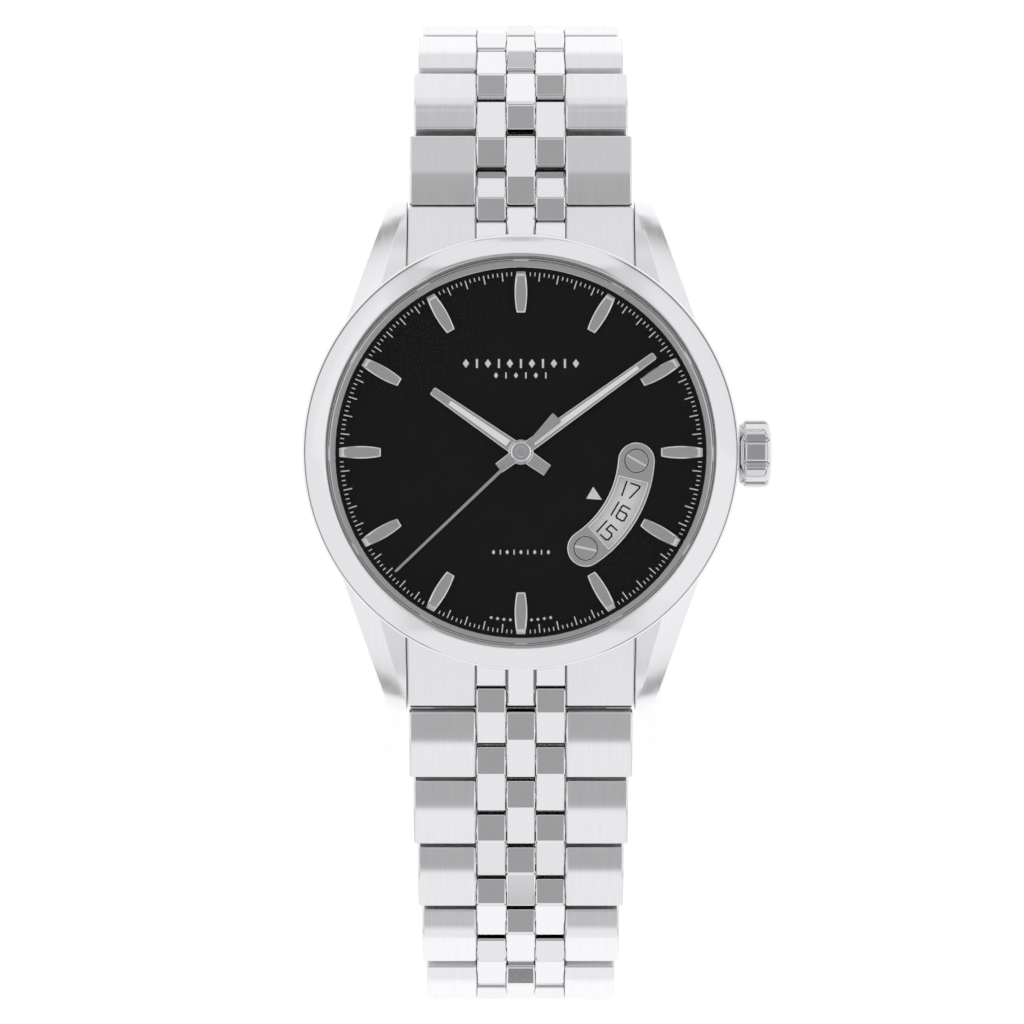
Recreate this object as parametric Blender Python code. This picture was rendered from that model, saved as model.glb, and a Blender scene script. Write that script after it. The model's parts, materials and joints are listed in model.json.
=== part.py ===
"""Automatic wristwatch on a five-row steel bracelet with a butterfly clasp.

Metres, +Z out of the dial, +Y towards 12 o'clock, +X towards the crown.
The origin is the centre of the case back's outer face.  Sizes below are in
millimetres and are multiplied by MM when a mesh is made.
"""
import math

import bmesh
import bpy
from mathutils import Matrix, Vector

MM = 0.001

# Case, measured from the back's outer face (z = 0)
BEZEL_R = 21.0
CASE_R = 20.6
CASE_Z = (1.15, 7.6)
DIAL_SEAT_R = 19.0
DIAL_SEAT_Z = 6.25
MOVEMENT_BORE_R = 17.4
BACK_SEAT_R = 17.85
BACK_SEAT_Z = 1.8
LUG_GAP = 22.0
LUG_TIP_Y = 24.65
STEM_Z = 4.8
ROUND_SEGMENTS = 48

# Dial side
DIAL_R = 18.9
DIAL_Z = (6.3, 6.7)
MARKER_R = (13.5, 17.5)
MARKER_HALF_WIDTHS = (0.38, 0.58)
MARKER_TOP_Z = 7.2
DATE_ARC_R = 11.15
DATE_ARC_HALF = 1.76
DATE_ARC_ENDS = (94.15, 146.1)
DATE_OPENING_R = (9.73, 12.52)
DATE_OPENING_ENDS = (103.7, 137.6)

# Time shown, as clockwise angles from 12 o'clock
HOUR_ANGLE = 304.8
MINUTE_ANGLE = 54.1
SECOND_ANGLE = 226.3

# Bracelet
HALF_PITCH = 3.6
# Outer side of a link: the slope facing the case, the ridge and the longer far slope
LINK_TOP = ((-3.4, 0.5), (-3.32, 1.08), (-3.1, 1.25), (-0.85, 1.66), (-0.35, 1.68),
            (2.95, 0.98), (3.28, 0.82), (3.4, 0.45))
LINK_END_R = 1.6
PIN_R = 0.40
PIN_HOLE_R = 0.46
PIN_SIDES = 8
MIDDLE_HALF = 1.40
INNER_ROW = (1.45, 4.30)
OUTER_ROW_START = 4.35
OUTER_ROW_FIRST = 10.80
OUTER_ROW_STEP = 0.38
OUTER_ROW_LEAST = 9.00
LINKS_PER_SIDE = 8
FIRST_PIN_12 = (25.8, 2.5)
FIRST_PIN_6 = (-26.1, 2.4)
# Downward tilt of each half pitch, in degrees, from the lugs to the clasp
TILTS_12 = (5.5, 19, 32, 44, 55.5, 67.5, 79.5, 91, 101, 110, 117.5, 124, 129, 133.5, 138, 142)
TILTS_6 = (24.5, 26, 27.5, 30.5, 33.5, 37, 42, 50, 64, 82, 98, 112, 124, 134.5, 143.5, 151)

# Clasp, laid out along an arc between the two ends of the chain
CLASP_ARC_R = 85.0
COVER_HALF_WIDTH = 9.0
COVER_LAYER = (-0.9, 1.7)
BLADE_LAYER = (-2.4, -1.3)
PLATE_LAYER = (-3.6, -2.5)
BLADE_MID = -1.85
BLADE_HALF_WIDTH = 4.0
BLADE_PIN_R = 0.28
BLADE_HOLE_R = 0.33
SEAM_PIVOT_S = 4.2
PLATE_PIVOT_S = 21.0
EAR_X = (4.1, 5.6)


# ---------------------------------------------------------------- helpers

def clear_scene():
    for obj in list(bpy.data.objects):
        bpy.data.objects.remove(obj, do_unlink=True)


def material(name, colour, metallic, roughness, alpha=1.0):
    mat = bpy.data.materials.get(name)
    if mat is None:
        mat = bpy.data.materials.new(name)
        mat.use_nodes = True
        shader = mat.node_tree.nodes["Principled BSDF"]
        shader.inputs["Base Color"].default_value = (*colour, 1.0)
        shader.inputs["Metallic"].default_value = metallic
        shader.inputs["Roughness"].default_value = roughness
        shader.inputs["Alpha"].default_value = alpha
    return mat


def mesh_object(name, verts, faces):
    """Make an object from millimetre vertices, with outward faces."""
    mesh = bpy.data.meshes.new(name)
    mesh.from_pydata([Vector(v) * MM for v in verts], [], faces)
    work = bmesh.new()
    work.from_mesh(mesh)
    bmesh.ops.recalc_face_normals(work, faces=work.faces)
    work.to_mesh(mesh)
    work.free()
    obj = bpy.data.objects.new(name, mesh)
    bpy.context.scene.collection.objects.link(obj)
    return obj


def lathe(name, profile, segments=ROUND_SEGMENTS, close=True, centre=(0, 0), flute=None):
    """Turn a closed (radius, height) profile about Z; radius 0 is a pole."""
    verts, rings = [], []
    for radius, height in profile:
        if radius == 0:
            rings.append([len(verts)] * segments)
            verts.append((centre[0], centre[1], height))
            continue
        ring = []
        for k in range(segments):
            angle = 2 * math.pi * k / segments
            r = radius - (flute(angle, radius) if flute else 0.0)
            ring.append(len(verts))
            verts.append((centre[0] + r * math.cos(angle), centre[1] + r * math.sin(angle), height))
        rings.append(ring)
    faces = []
    count = len(profile)
    for i in range(count if close else count - 1):
        low, high = rings[i], rings[(i + 1) % count]
        for k in range(segments):
            m = (k + 1) % segments
            face = []
            for index in (low[k], low[m], high[m], high[k]):
                if index not in face:
                    face.append(index)
            if len(face) > 2:
                faces.append(face)
    return mesh_object(name, verts, faces)


def prism(name, outline, low, high, axis="X"):
    """Extrude a 2-D outline: (y, z) along X, or (x, y) along Z."""
    count = len(outline)
    verts = []
    for level in (low, high):
        for a, b in outline:
            verts.append((level, a, b) if axis == "X" else (a, b, level))
    faces = [list(range(count)), list(range(count, 2 * count))]
    for k in range(count):
        m = (k + 1) % count
        faces.append([k, m, count + m, count + k])
    return mesh_object(name, verts, faces)


def join(name, parts):
    """Put several separate shapes in one mesh, as the tool of one Boolean."""
    mesh = bpy.data.meshes.new(name)
    work = bmesh.new()
    for part in parts:
        work.from_mesh(part.data)
        bpy.data.objects.remove(part, do_unlink=True)
    work.to_mesh(mesh)
    work.free()
    obj = bpy.data.objects.new(name, mesh)
    bpy.context.scene.collection.objects.link(obj)
    return obj


def combine(obj, tool, operation):
    """Boolean tool into obj and drop the tool."""
    modifier = obj.modifiers.new("cut", "BOOLEAN")
    modifier.operation = operation
    modifier.solver = "EXACT"
    modifier.object = tool
    bpy.context.view_layer.update()
    graph = bpy.context.evaluated_depsgraph_get()
    result = bpy.data.meshes.new_from_object(obj.evaluated_get(graph))
    obj.modifiers.clear()
    old = obj.data
    obj.data = result
    result.name = obj.name
    bpy.data.meshes.remove(old)
    bpy.data.objects.remove(tool, do_unlink=True)
    return obj


def union(obj, *tools):
    for tool in tools:
        combine(obj, tool, "UNION")
    return obj


def cut(obj, *tools):
    for tool in tools:
        combine(obj, tool, "DIFFERENCE")
    return obj


def finish(obj, name, mat, pivot=(0.0, 0.0, 0.0)):
    """Name the node, weld it, give its material and put its origin on its joint axis."""
    obj.name = name
    obj.data.name = name
    offset = Vector(pivot) * MM
    obj.data.transform(Matrix.Translation(-offset))
    obj.location = offset
    work = bmesh.new()
    work.from_mesh(obj.data)
    bmesh.ops.remove_doubles(work, verts=work.verts, dist=2e-7)
    bmesh.ops.dissolve_degenerate(work, edges=work.edges, dist=2e-7)
    bmesh.ops.triangulate(work, faces=work.faces)
    work.to_mesh(obj.data)
    work.free()
    obj.data.materials.clear()
    obj.data.materials.append(mat)
    return obj


def turned(point, angle):
    """Turn an (x, y) point drawn towards 12 o'clock clockwise by angle degrees."""
    a = math.radians(angle)
    x, y = point
    return (x * math.cos(a) + y * math.sin(a), -x * math.sin(a) + y * math.cos(a))


def polar(radius, angle):
    return turned((0.0, radius), angle)


def circle(centre, radius, sides, phase=0.0):
    points = []
    for k in range(sides):
        a = 2 * math.pi * k / sides + phase
        points.append((centre[0] + radius * math.cos(a), centre[1] + radius * math.sin(a)))
    return points


def pin_along_x(name, centre, radius, low, high, sides=PIN_SIDES):
    return prism(name, circle(centre, radius, sides, math.pi / sides), low, high)


def arc_band(inner, outer, start, end, steps):
    """Outline of a band between two radii, drawn clockwise from 12 o'clock."""
    angles = [start + (end - start) * k / steps for k in range(steps + 1)]
    return [polar(outer, a) for a in angles] + [polar(inner, a) for a in reversed(angles)]


# ------------------------------------------------------------------- case

def lug_outer_x(y):
    """Outer edge of a lug: a straight run that leaves the case tangentially."""
    if y > 23.9:
        return 13.0 - (y - 23.9) * 0.9
    return 13.0 + (23.9 - y) * 0.355


def lug(side_x, side_y):
    stations = ((14.2, 1.2, 7.1), (17.0, 1.1, 6.95), (19.5, 1.0, 6.45), (21.5, 0.9, 5.6),
                (23.2, 0.95, 4.4), (24.2, 1.2, 3.3), (LUG_TIP_Y, 1.7, 2.6))
    verts, faces = [], []
    inner = LUG_GAP / 2
    for y, low, high in stations:
        outer = lug_outer_x(y)
        bevel = min(1.1, (outer - inner) * 0.45)
        section = ((inner, low), (outer, low), (outer, high - bevel * 0.8),
                   (outer - bevel, high), (inner, high))
        for x, z in section:
            verts.append((side_x * x, side_y * y, z))
    for i in range(len(stations) - 1):
        for k in range(5):
            m = (k + 1) % 5
            faces.append([5 * i + k, 5 * i + m, 5 * i + 5 + m, 5 * i + 5 + k])
    faces.append([0, 1, 2, 3, 4])
    faces.append([len(verts) - 5 + k for k in range(5)])
    return mesh_object("lug", verts, faces)


def make_case(steel):
    case = lathe("case_middle", [
        (17.0, CASE_Z[0]), (19.6, CASE_Z[0]), (20.3, 1.7), (CASE_R, 2.4),
        (CASE_R, 7.2), (20.3, CASE_Z[1]), (17.0, CASE_Z[1])])
    for side_x in (-1, 1):
        for side_y in (-1, 1):
            union(case, lug(side_x, side_y))
    union(case, pin_along_x("tube", (0.0, STEM_Z), 1.5, 19.0, 22.2, 16))
    cut(case,
        lathe("bore", [(0, 0.5), (BACK_SEAT_R, 0.5), (BACK_SEAT_R, BACK_SEAT_Z),
                       (MOVEMENT_BORE_R, BACK_SEAT_Z), (MOVEMENT_BORE_R, DIAL_SEAT_Z),
                       (DIAL_SEAT_R, DIAL_SEAT_Z), (DIAL_SEAT_R, 8.5), (0, 8.5)], close=False),
        pin_along_x("stem_bore", (0.0, STEM_Z), 0.65, 15.0, 23.0, 12))
    finish(case, "case_middle", steel)

    bezel = lathe("bezel", [
        (18.7, 7.65), (20.7, 7.65), (BEZEL_R, 7.9), (BEZEL_R, 8.35), (20.75, 8.85),
        (20.2, 9.4), (19.4, 9.8), (18.85, 9.9), (18.7, 9.8)])
    finish(bezel, "bezel", steel)


def make_crystal(glass):
    crystal = lathe("crystal", [
        (0, 8.5), (18.6, 8.5), (18.6, 9.95), (18.25, 10.3), (0, 10.3)], close=False)
    finish(crystal, "crystal", glass)


def make_flange(steel):
    ring = lathe("flange_ring", [
        (17.87, 6.75), (18.9, 6.75), (18.9, 7.5), (18.6, 7.6), (18.6, 8.4), (18.45, 8.4)])
    finish(ring, "flange_ring", steel)


def make_case_back(steel, glass):
    ring = lathe("case_back_ring", [
        (13.45, 0.0), (17.3, 0.0), (17.8, 0.45), (17.8, 1.75), (12.95, 1.75),
        (12.95, 1.06), (13.45, 1.06)])
    notches = [prism("notch", circle(polar(16.0, 60 * k + 30), 0.8, 10), -0.5, 0.5, "Z")
               for k in range(6)]
    cut(ring, join("notches", notches))
    finish(ring, "case_back_ring", steel)
    window = lathe("case_back_glass", [(0, 0.0), (13.4, 0.0), (13.4, 1.0), (0, 1.0)], close=False)
    finish(window, "case_back_glass", glass)


# -------------------------------------------------------------- dial side

def marker_outline(angle):
    low, high = MARKER_R
    narrow, wide = MARKER_HALF_WIDTHS
    corners = [(narrow, low), (wide, low + 0.9), (wide, high - 0.9), (narrow, high)]
    outline = corners + [(-x, y) for x, y in reversed(corners)]
    return [turned(p, angle) for p in outline]


def make_dial(black):
    dial = lathe("dial", [(0, DIAL_Z[0]), (DIAL_R, DIAL_Z[0]), (DIAL_R, DIAL_Z[1]),
                          (0, DIAL_Z[1])], close=False)
    markers = [prism("marker", marker_outline(30 * k), 6.5, MARKER_TOP_Z, "Z") for k in range(12)]
    union(dial, join("markers", markers))
    window = arc_band(DATE_OPENING_R[0] - 0.15, DATE_OPENING_R[1] + 0.15,
                      DATE_OPENING_ENDS[0] - 0.7, DATE_OPENING_ENDS[1] + 0.7, 6)
    cut(dial, prism("window", window, 6.0, 7.0, "Z"),
        prism("hole", circle((0, 0), 0.95, 16), 6.0, 7.0, "Z"))
    finish(dial, "dial", black)


def make_date_frame(grey):
    start, end = DATE_ARC_ENDS
    inner, outer = DATE_ARC_R - DATE_ARC_HALF, DATE_ARC_R + DATE_ARC_HALF
    steps = 8
    outline = [polar(outer, start + (end - start) * k / steps) for k in range(steps + 1)]
    end_centre = polar(DATE_ARC_R, end)
    for k in range(1, 6):
        x, y = turned((0.0, DATE_ARC_HALF), end + 180 * k / 6)
        outline.append((end_centre[0] + x, end_centre[1] + y))
    outline += [polar(inner, end - (end - start) * k / steps) for k in range(steps + 1)]
    start_centre = polar(DATE_ARC_R, start)
    for k in range(1, 6):
        x, y = turned((0.0, DATE_ARC_HALF), start + 180 + 180 * k / 6)
        outline.append((start_centre[0] + x, start_centre[1] + y))
    frame = prism("date_frame", outline, DIAL_Z[1] + 0.01, 7.05, "Z")
    opening = arc_band(*DATE_OPENING_R, *DATE_OPENING_ENDS, 6)
    cut(frame, prism("opening", opening, 6.0, 8.0, "Z"))
    screws = [prism("screw", circle(c, 1.12, 16), 6.9, 7.15, "Z")
              for c in (start_centre, end_centre)]
    union(frame, join("screws", screws))
    finish(frame, "date_frame", grey)


def hand(name, outline, angle, level, hub_r, tube, mat):
    """A flat hand with a round hub and a hollow or solid tube towards the movement."""
    low, high = level
    body = prism(name, [turned(p, angle) for p in outline], low, high, "Z")
    tube_r, tube_bore, tube_low = tube
    union(body, prism("hub", circle((0, 0), hub_r, 20), low - 0.02, high + 0.02, "Z"),
          prism("tube", circle((0, 0), tube_r, 16), tube_low, low + 0.05, "Z"))
    if tube_bore:
        cut(body, prism("bore", circle((0, 0), tube_bore, 16), tube_low - 1, high + 1, "Z"))
    finish(body, name, mat)


def tapered(length, tail, tip_half, hub_half, tail_half):
    point = 0.7
    return [(-tail_half, -tail), (tail_half, -tail), (hub_half, 0.9), (tip_half, length - point),
            (0.0, length), (-tip_half, length - point), (-hub_half, 0.9)]


def make_hands(grey):
    hand("hour_hand", tapered(10.4, 3.1, 0.43, 0.68, 0.62), HOUR_ANGLE, (7.3, 7.48), 1.25,
         (0.85, 0.66, 5.3), grey)
    hand("minute_hand", tapered(15.9, 2.65, 0.38, 0.60, 0.55), MINUTE_ANGLE, (7.62, 7.8), 1.05,
         (0.60, 0.36, 5.0), grey)
    seconds = [(-0.58, -4.75), (0.58, -4.75), (0.18, -0.6), (0.13, 16.7), (-0.13, 16.7),
               (-0.18, -0.6)]
    hand("seconds_hand", seconds, SECOND_ANGLE, (7.94, 8.08), 0.95, (0.30, 0, 4.6), grey)


def make_date_ring(white):
    ring = lathe("date_ring", [(9.2, 5.85), (13.4, 5.85), (13.4, 6.2), (9.2, 6.2)], 62)
    finish(ring, "date_ring", white)


# --------------------------------------------------------------- movement

BALANCE_CENTRE = (-6.2, -6.2)


def make_movement(nickel, brass):
    plate = lathe("main_plate", [(0, 3.95), (17.3, 3.95), (17.3, 5.75), (0, 5.75)], close=False)
    cut(plate, prism("hole", circle((0, 0), 0.95, 16), 3.0, 7.0, "Z"),
        pin_along_x("stem_way", (0.0, STEM_Z), 0.6, 4.0, 18.0, 12))
    finish(plate, "main_plate", nickel)

    bridge = prism("train_bridge", circle((0, 0), 13.6, 40), 2.85, 3.9, "Z")
    cut(bridge, prism("balance_bay", circle(BALANCE_CENTRE, 5.4, 24), 2.0, 5.0, "Z"),
        prism("corner", [(-14.5, -14.5), (-5.0, -14.5), (-7.0, -8.0), (-14.5, -6.0)],
              2.0, 5.0, "Z"),
        prism("keyless_bay", [(8.6, -2.2), (14.5, -2.2), (14.5, 2.2), (8.6, 2.2)],
              2.0, 5.0, "Z"))
    union(bridge, prism("post", circle((0, 0), 0.6, 12), 1.75, 3.0, "Z"))
    cut(bridge, prism("arbor", circle((0, 0), 0.35, 12), 2.6, 5.0, "Z"))
    finish(bridge, "train_bridge", nickel)

    foot = prism("balance_cock", [(-13.0, -9.0), (-9.0, -13.0), (-5.4, -6.6), (-6.6, -5.4)],
                 2.7, 3.0, "Z")
    union(foot, prism("foot", [(-13.0, -9.0), (-9.0, -13.0), (-8.5, -11.1), (-11.1, -8.5)],
                      2.7, 3.9, "Z"))
    cut(foot, prism("jewel_hole", circle(BALANCE_CENTRE, 0.25, 12), 2.0, 3.5, "Z"))
    finish(foot, "balance_cock", nickel)

    rim = prism("balance_wheel", circle(BALANCE_CENTRE, 4.1, 32), 3.2, 3.6, "Z")
    windows = []
    for k in range(3):
        sector = arc_band(0.9, 3.5, 120 * k + 12, 120 * k + 108, 6)
        shifted = [(x + BALANCE_CENTRE[0], y + BALANCE_CENTRE[1]) for x, y in sector]
        windows.append(prism("window", shifted, 3.0, 4.0, "Z"))
    cut(rim, join("windows", windows))
    union(rim, prism("staff", circle(BALANCE_CENTRE, 0.2, 10), 2.8, 3.88, "Z"))
    finish(rim, "balance_wheel", brass, (*BALANCE_CENTRE, 3.4))


def make_rotor(nickel):
    rotor = prism("rotor", arc_band(1.2, 11.2, 92, 268, 18), 1.6, 1.95, "Z")
    union(rotor, prism("weight", arc_band(10.6, 12.6, 90, 270, 20), 1.5, 2.6, "Z"),
          prism("hub", circle((0, 0), 2.4, 24), 1.45, 2.6, "Z"))
    cut(rotor, prism("bearing", circle((0, 0), 0.66, 12), 1.7, 3.0, "Z"))
    finish(rotor, "rotor", nickel, (0, 0, 2.0))


# ------------------------------------------------------------------ crown

def crown_flute(angle, radius):
    if radius < 3.0:
        return 0.0
    return 0.0 if math.cos(8 * angle) > -0.2 else 0.4


def make_crown(steel):
    crown = lathe("crown", [
        (0, 23.4), (0.58, 23.4), (0.58, 22.6), (1.65, 22.6), (1.65, 21.08), (2.85, 21.08),
        (3.25, 21.35), (3.25, 23.6), (2.75, 24.05), (1.4, 24.2), (0, 24.2)],
        48, close=False, flute=crown_flute)
    crown.data.transform(Matrix.Rotation(math.pi / 2, 4, "Y"))
    crown.data.transform(Matrix.Translation((0, 0, STEM_Z * MM)))
    finish(crown, "crown", steel, (22.5, 0, STEM_Z))
    stem = pin_along_x("winding_stem", (0.0, STEM_Z), 0.5, 4.4, 23.3, 12)
    finish(stem, "winding_stem", steel, (12.0, 0, STEM_Z))


# --------------------------------------------------------------- bracelet

def chain(first, tilts, direction):
    """Pin centres (y, z) from the lugs to the clasp, one per half pitch."""
    points = [first]
    for tilt in tilts:
        a = math.radians(tilt)
        y, z = points[-1]
        points.append((y + direction * HALF_PITCH * math.cos(a), z - HALF_PITCH * math.sin(a)))
    return points


def link_outline(a, b):
    """Side view of a link from its near pin a to its far pin b."""
    half = math.dist(a, b) / 2
    local = list(LINK_TOP)
    for centre, start in ((half, 0), (-half, 90)):
        for k in range(4):
            angle = math.radians(start + 30 * k)
            local.append((centre + LINK_END_R * math.cos(angle), -LINK_END_R * math.sin(angle)))
    return [along_bar(a, b, u, -v) for u, v in local]


def along_bar(a, b, s, n):
    """The point s along the bar a-b from its middle and n towards the wrist."""
    length = math.dist(a, b)
    along = ((b[0] - a[0]) / length, (b[1] - a[1]) / length)
    inward = inward_normal(a, b)
    return ((a[0] + b[0]) / 2 + along[0] * s + inward[0] * n,
            (a[1] + b[1]) / 2 + along[1] * s + inward[1] * n)


def outer_edge(number):
    return max(OUTER_ROW_LEAST, OUTER_ROW_FIRST - OUTER_ROW_STEP * (number - 1))


def wide_link(name, a, b, edge, pins):
    """Two brushed outer rows and the middle row, held together by the pins."""
    outline = link_outline(a, b)
    rows = join(name, [
        prism("row", outline, -edge, -OUTER_ROW_START),
        prism("row", outline, -MIDDLE_HALF, MIDDLE_HALF),
        prism("row", outline, OUTER_ROW_START, edge)])
    reach = OUTER_ROW_START + 1.5
    return union(rows, join("pins", [pin_along_x("pin", p, PIN_R, -reach, reach) for p in pins]))


def narrow_link(name, a, b):
    """Two polished inner rows joined by a thin bridge under the middle row."""
    outline = link_outline(a, b)
    rows = join(name, [prism("row", outline, -INNER_ROW[1], -INNER_ROW[0]),
                       prism("row", outline, *INNER_ROW)])
    union(rows, bridge_bar(a, b))
    reach = INNER_ROW[1] + 0.5
    holes = [pin_along_x("hole", p, PIN_HOLE_R, -reach, reach) for p in (a, b)]
    return cut(rows, join("holes", holes))


def bridge_bar(a, b):
    """The bridge lies on the wrist side, in the notch between two middle rows."""
    corners = ((-0.32, 1.2), (0.32, 1.2), (0.5, 1.53), (-0.5, 1.53))
    outline = [along_bar(a, b, s, n) for s, n in corners]
    reach = INNER_ROW[0] + 0.3
    return prism("bridge", outline, -reach, reach)


def inward_normal(a, b):
    """Unit normal of the bar a-b that points into the bracelet's loop."""
    length = math.dist(a, b)
    normal = ((b[1] - a[1]) / length, -(b[0] - a[0]) / length)
    centre = (-6.0, -15.0)
    towards = (centre[0] - a[0]) * normal[0] + (centre[1] - a[1]) * normal[1]
    return normal if towards > 0 else (-normal[0], -normal[1])


def make_end_link(name, direction, first_pin, steel):
    """Block between the lugs, with two fixed tongues that carry the first pin."""
    face_y = 24.05
    outline = [(direction * y, z) for y, z in (
        (16.5, 1.4), (16.5, 7.0), (18.5, 6.8), (20.5, 6.15), (22.2, 5.3), (face_y, 4.1),
        (face_y, 1.2), (22.8, 0.9))]
    edge = LUG_GAP / 2 - 0.05
    block = prism(name, outline, -edge, edge)
    cut(block, prism("case_side", circle((0, 0), CASE_R + 0.06, ROUND_SEGMENTS), 0.0, 9.0, "Z"))
    root = (direction * 22.2, 3.1)
    tongue = link_outline(root, first_pin)
    union(block, join("tongues", [prism("tongue", tongue, -INNER_ROW[1], -INNER_ROW[0]),
                                  prism("tongue", tongue, *INNER_ROW)]))
    cut(block, pin_along_x("hole", first_pin, PIN_HOLE_R, -INNER_ROW[1] - 0.5,
                           INNER_ROW[1] + 0.5))
    finish(block, name, steel)


def make_links(side, points, steel):
    for number in range(1, LINKS_PER_SIDE + 1):
        a, b, c = points[2 * number - 2:2 * number + 1]
        open_end = side == "6" and number == 1
        pins = (b,) if open_end else (a, b)
        wide = wide_link("wide", a, b, outer_edge(number), pins)
        wide_pivot = a if side == "12" else b
        finish(wide, f"link_{side}_wide_{number}", steel, (0, *wide_pivot))
        narrow = narrow_link("narrow", b, c)
        narrow_pivot = b if side == "12" else c
        finish(narrow, f"link_{side}_narrow_{number}", steel, (0, *narrow_pivot))


# ------------------------------------------------------------------ clasp

class ClaspArc:
    """Coordinates along the clasp: s from the seam towards 12 o'clock, n outward."""

    def __init__(self, end_12, end_6):
        half = math.dist(end_12, end_6) / 2
        middle = ((end_12[0] + end_6[0]) / 2, (end_12[1] + end_6[1]) / 2)
        along = ((end_12[0] - middle[0]) / half, (end_12[1] - middle[1]) / half)
        up = (-along[1], along[0])
        rise = math.sqrt(CLASP_ARC_R ** 2 - half ** 2)
        self.centre = (middle[0] + up[0] * rise, middle[1] + up[1] * rise)
        self.down = math.atan2(-up[1], -up[0])
        self.half_length = CLASP_ARC_R * math.asin(half / CLASP_ARC_R)

    def point(self, s, n):
        angle = self.down + s / CLASP_ARC_R
        radius = CLASP_ARC_R + n
        return (self.centre[0] + radius * math.cos(angle),
                self.centre[1] + radius * math.sin(angle))

    def strip(self, s_low, s_high, layer, steps=6):
        stops = [s_low + (s_high - s_low) * k / steps for k in range(steps + 1)]
        return ([self.point(s, layer[1]) for s in stops]
                + [self.point(s, layer[0]) for s in reversed(stops)])


def both_sides(name, outline, low, high):
    return [prism(name, outline, low, high), prism(name, outline, -high, -low)]


def make_cover(arc, side, end_pin, steel):
    """Rigid outer half of the clasp; its first rows take the last bracelet pin."""
    sign = 1 if side == "12" else -1
    length = arc.half_length
    inner_pin = arc.point(sign * (length - HALF_PITCH), 0.0)
    cover = wide_link("cover", end_pin, inner_pin, COVER_HALF_WIDTH, (end_pin,))
    bounds = sorted((sign * 0.15, sign * (length - 2.05)))
    union(cover, prism("strip", arc.strip(*bounds, COVER_LAYER, 8),
                       -COVER_HALF_WIDTH + 0.02, COVER_HALF_WIDTH - 0.02))
    pivot = arc.point(sign * SEAM_PIVOT_S, BLADE_MID)
    ear = arc.strip(sign * SEAM_PIVOT_S - 0.7, sign * SEAM_PIVOT_S + 0.7, (-2.35, -0.5), 1)
    union(cover, join("ears", both_sides("ear", ear, *EAR_X)),
          pin_along_x("pin", pivot, BLADE_PIN_R, -5.0, 5.0))
    name = f"clasp_cover_{side}"
    finish(cover, name, steel, (0, *(end_pin if side == "12" else pivot)))


def make_blade(arc, side, steel):
    """Folding leaf between a cover and the plate, with a barrel at each end."""
    sign = 1 if side == "12" else -1
    seam = arc.point(sign * SEAM_PIVOT_S, BLADE_MID)
    far = arc.point(sign * PLATE_PIVOT_S, BLADE_MID)
    blade = prism("blade", arc.strip(*sorted((sign * SEAM_PIVOT_S, sign * PLATE_PIVOT_S)),
                                     BLADE_LAYER, 5), -BLADE_HALF_WIDTH, BLADE_HALF_WIDTH)
    for centre in (seam, far):
        union(blade, prism("barrel", circle(centre, 0.55, 12), -BLADE_HALF_WIDTH + 0.01,
                           BLADE_HALF_WIDTH - 0.01))
    reach = BLADE_HALF_WIDTH + 0.5
    holes = [pin_along_x("hole", c, BLADE_HOLE_R, -reach, reach) for c in (seam, far)]
    cut(blade, join("holes", holes))
    finish(blade, f"clasp_blade_{side}", steel, (0, *(seam if side == "12" else far)))


def make_plate(arc, steel):
    """Curved base plate with a pair of ears at each end and the catch in the middle."""
    end = PLATE_PIVOT_S + 0.8
    plate = prism("plate", arc.strip(-end, end, PLATE_LAYER, 10), -EAR_X[1], EAR_X[1])
    ears, pins = [], []
    for sign in (-1, 1):
        centre = arc.point(sign * PLATE_PIVOT_S, BLADE_MID)
        ear = arc.strip(sign * PLATE_PIVOT_S - 0.7, sign * PLATE_PIVOT_S + 0.7,
                        (-2.8, -1.25), 1)
        ears += both_sides("ear", ear, EAR_X[0], EAR_X[1] - 0.02)
        pins.append(pin_along_x("pin", centre, BLADE_PIN_R, -5.0, 5.0))
    union(plate, join("ears", ears), join("pins", pins),
          prism("catch", arc.strip(-2.6, 2.6, (-2.8, -1.0), 2), -5.0, 5.0))
    pockets = both_sides("pocket", arc.strip(-1.5, 1.5, (-2.27, -1.23), 2), 2.3, 6.0)
    cut(plate, join("pockets", pockets))
    finish(plate, "clasp_plate", steel, (0, *arc.point(PLATE_PIVOT_S, BLADE_MID)))


def make_buttons(arc, steel):
    for name, sign in (("push_button_left", -1), ("push_button_right", 1)):
        shaft = prism("shaft", arc.strip(-1.4, 1.4, (-2.2, -1.3), 2),
                      *sorted((sign * 3.3, sign * 8.9)))
        union(shaft, prism("head", arc.strip(-1.9, 1.9, (-2.4, -1.1), 2),
                           *sorted((sign * 8.2, sign * 9.9))))
        finish(shaft, name, steel, (sign * 6.0, *arc.point(0, -1.75)))


# ------------------------------------------------------------------- main

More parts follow.
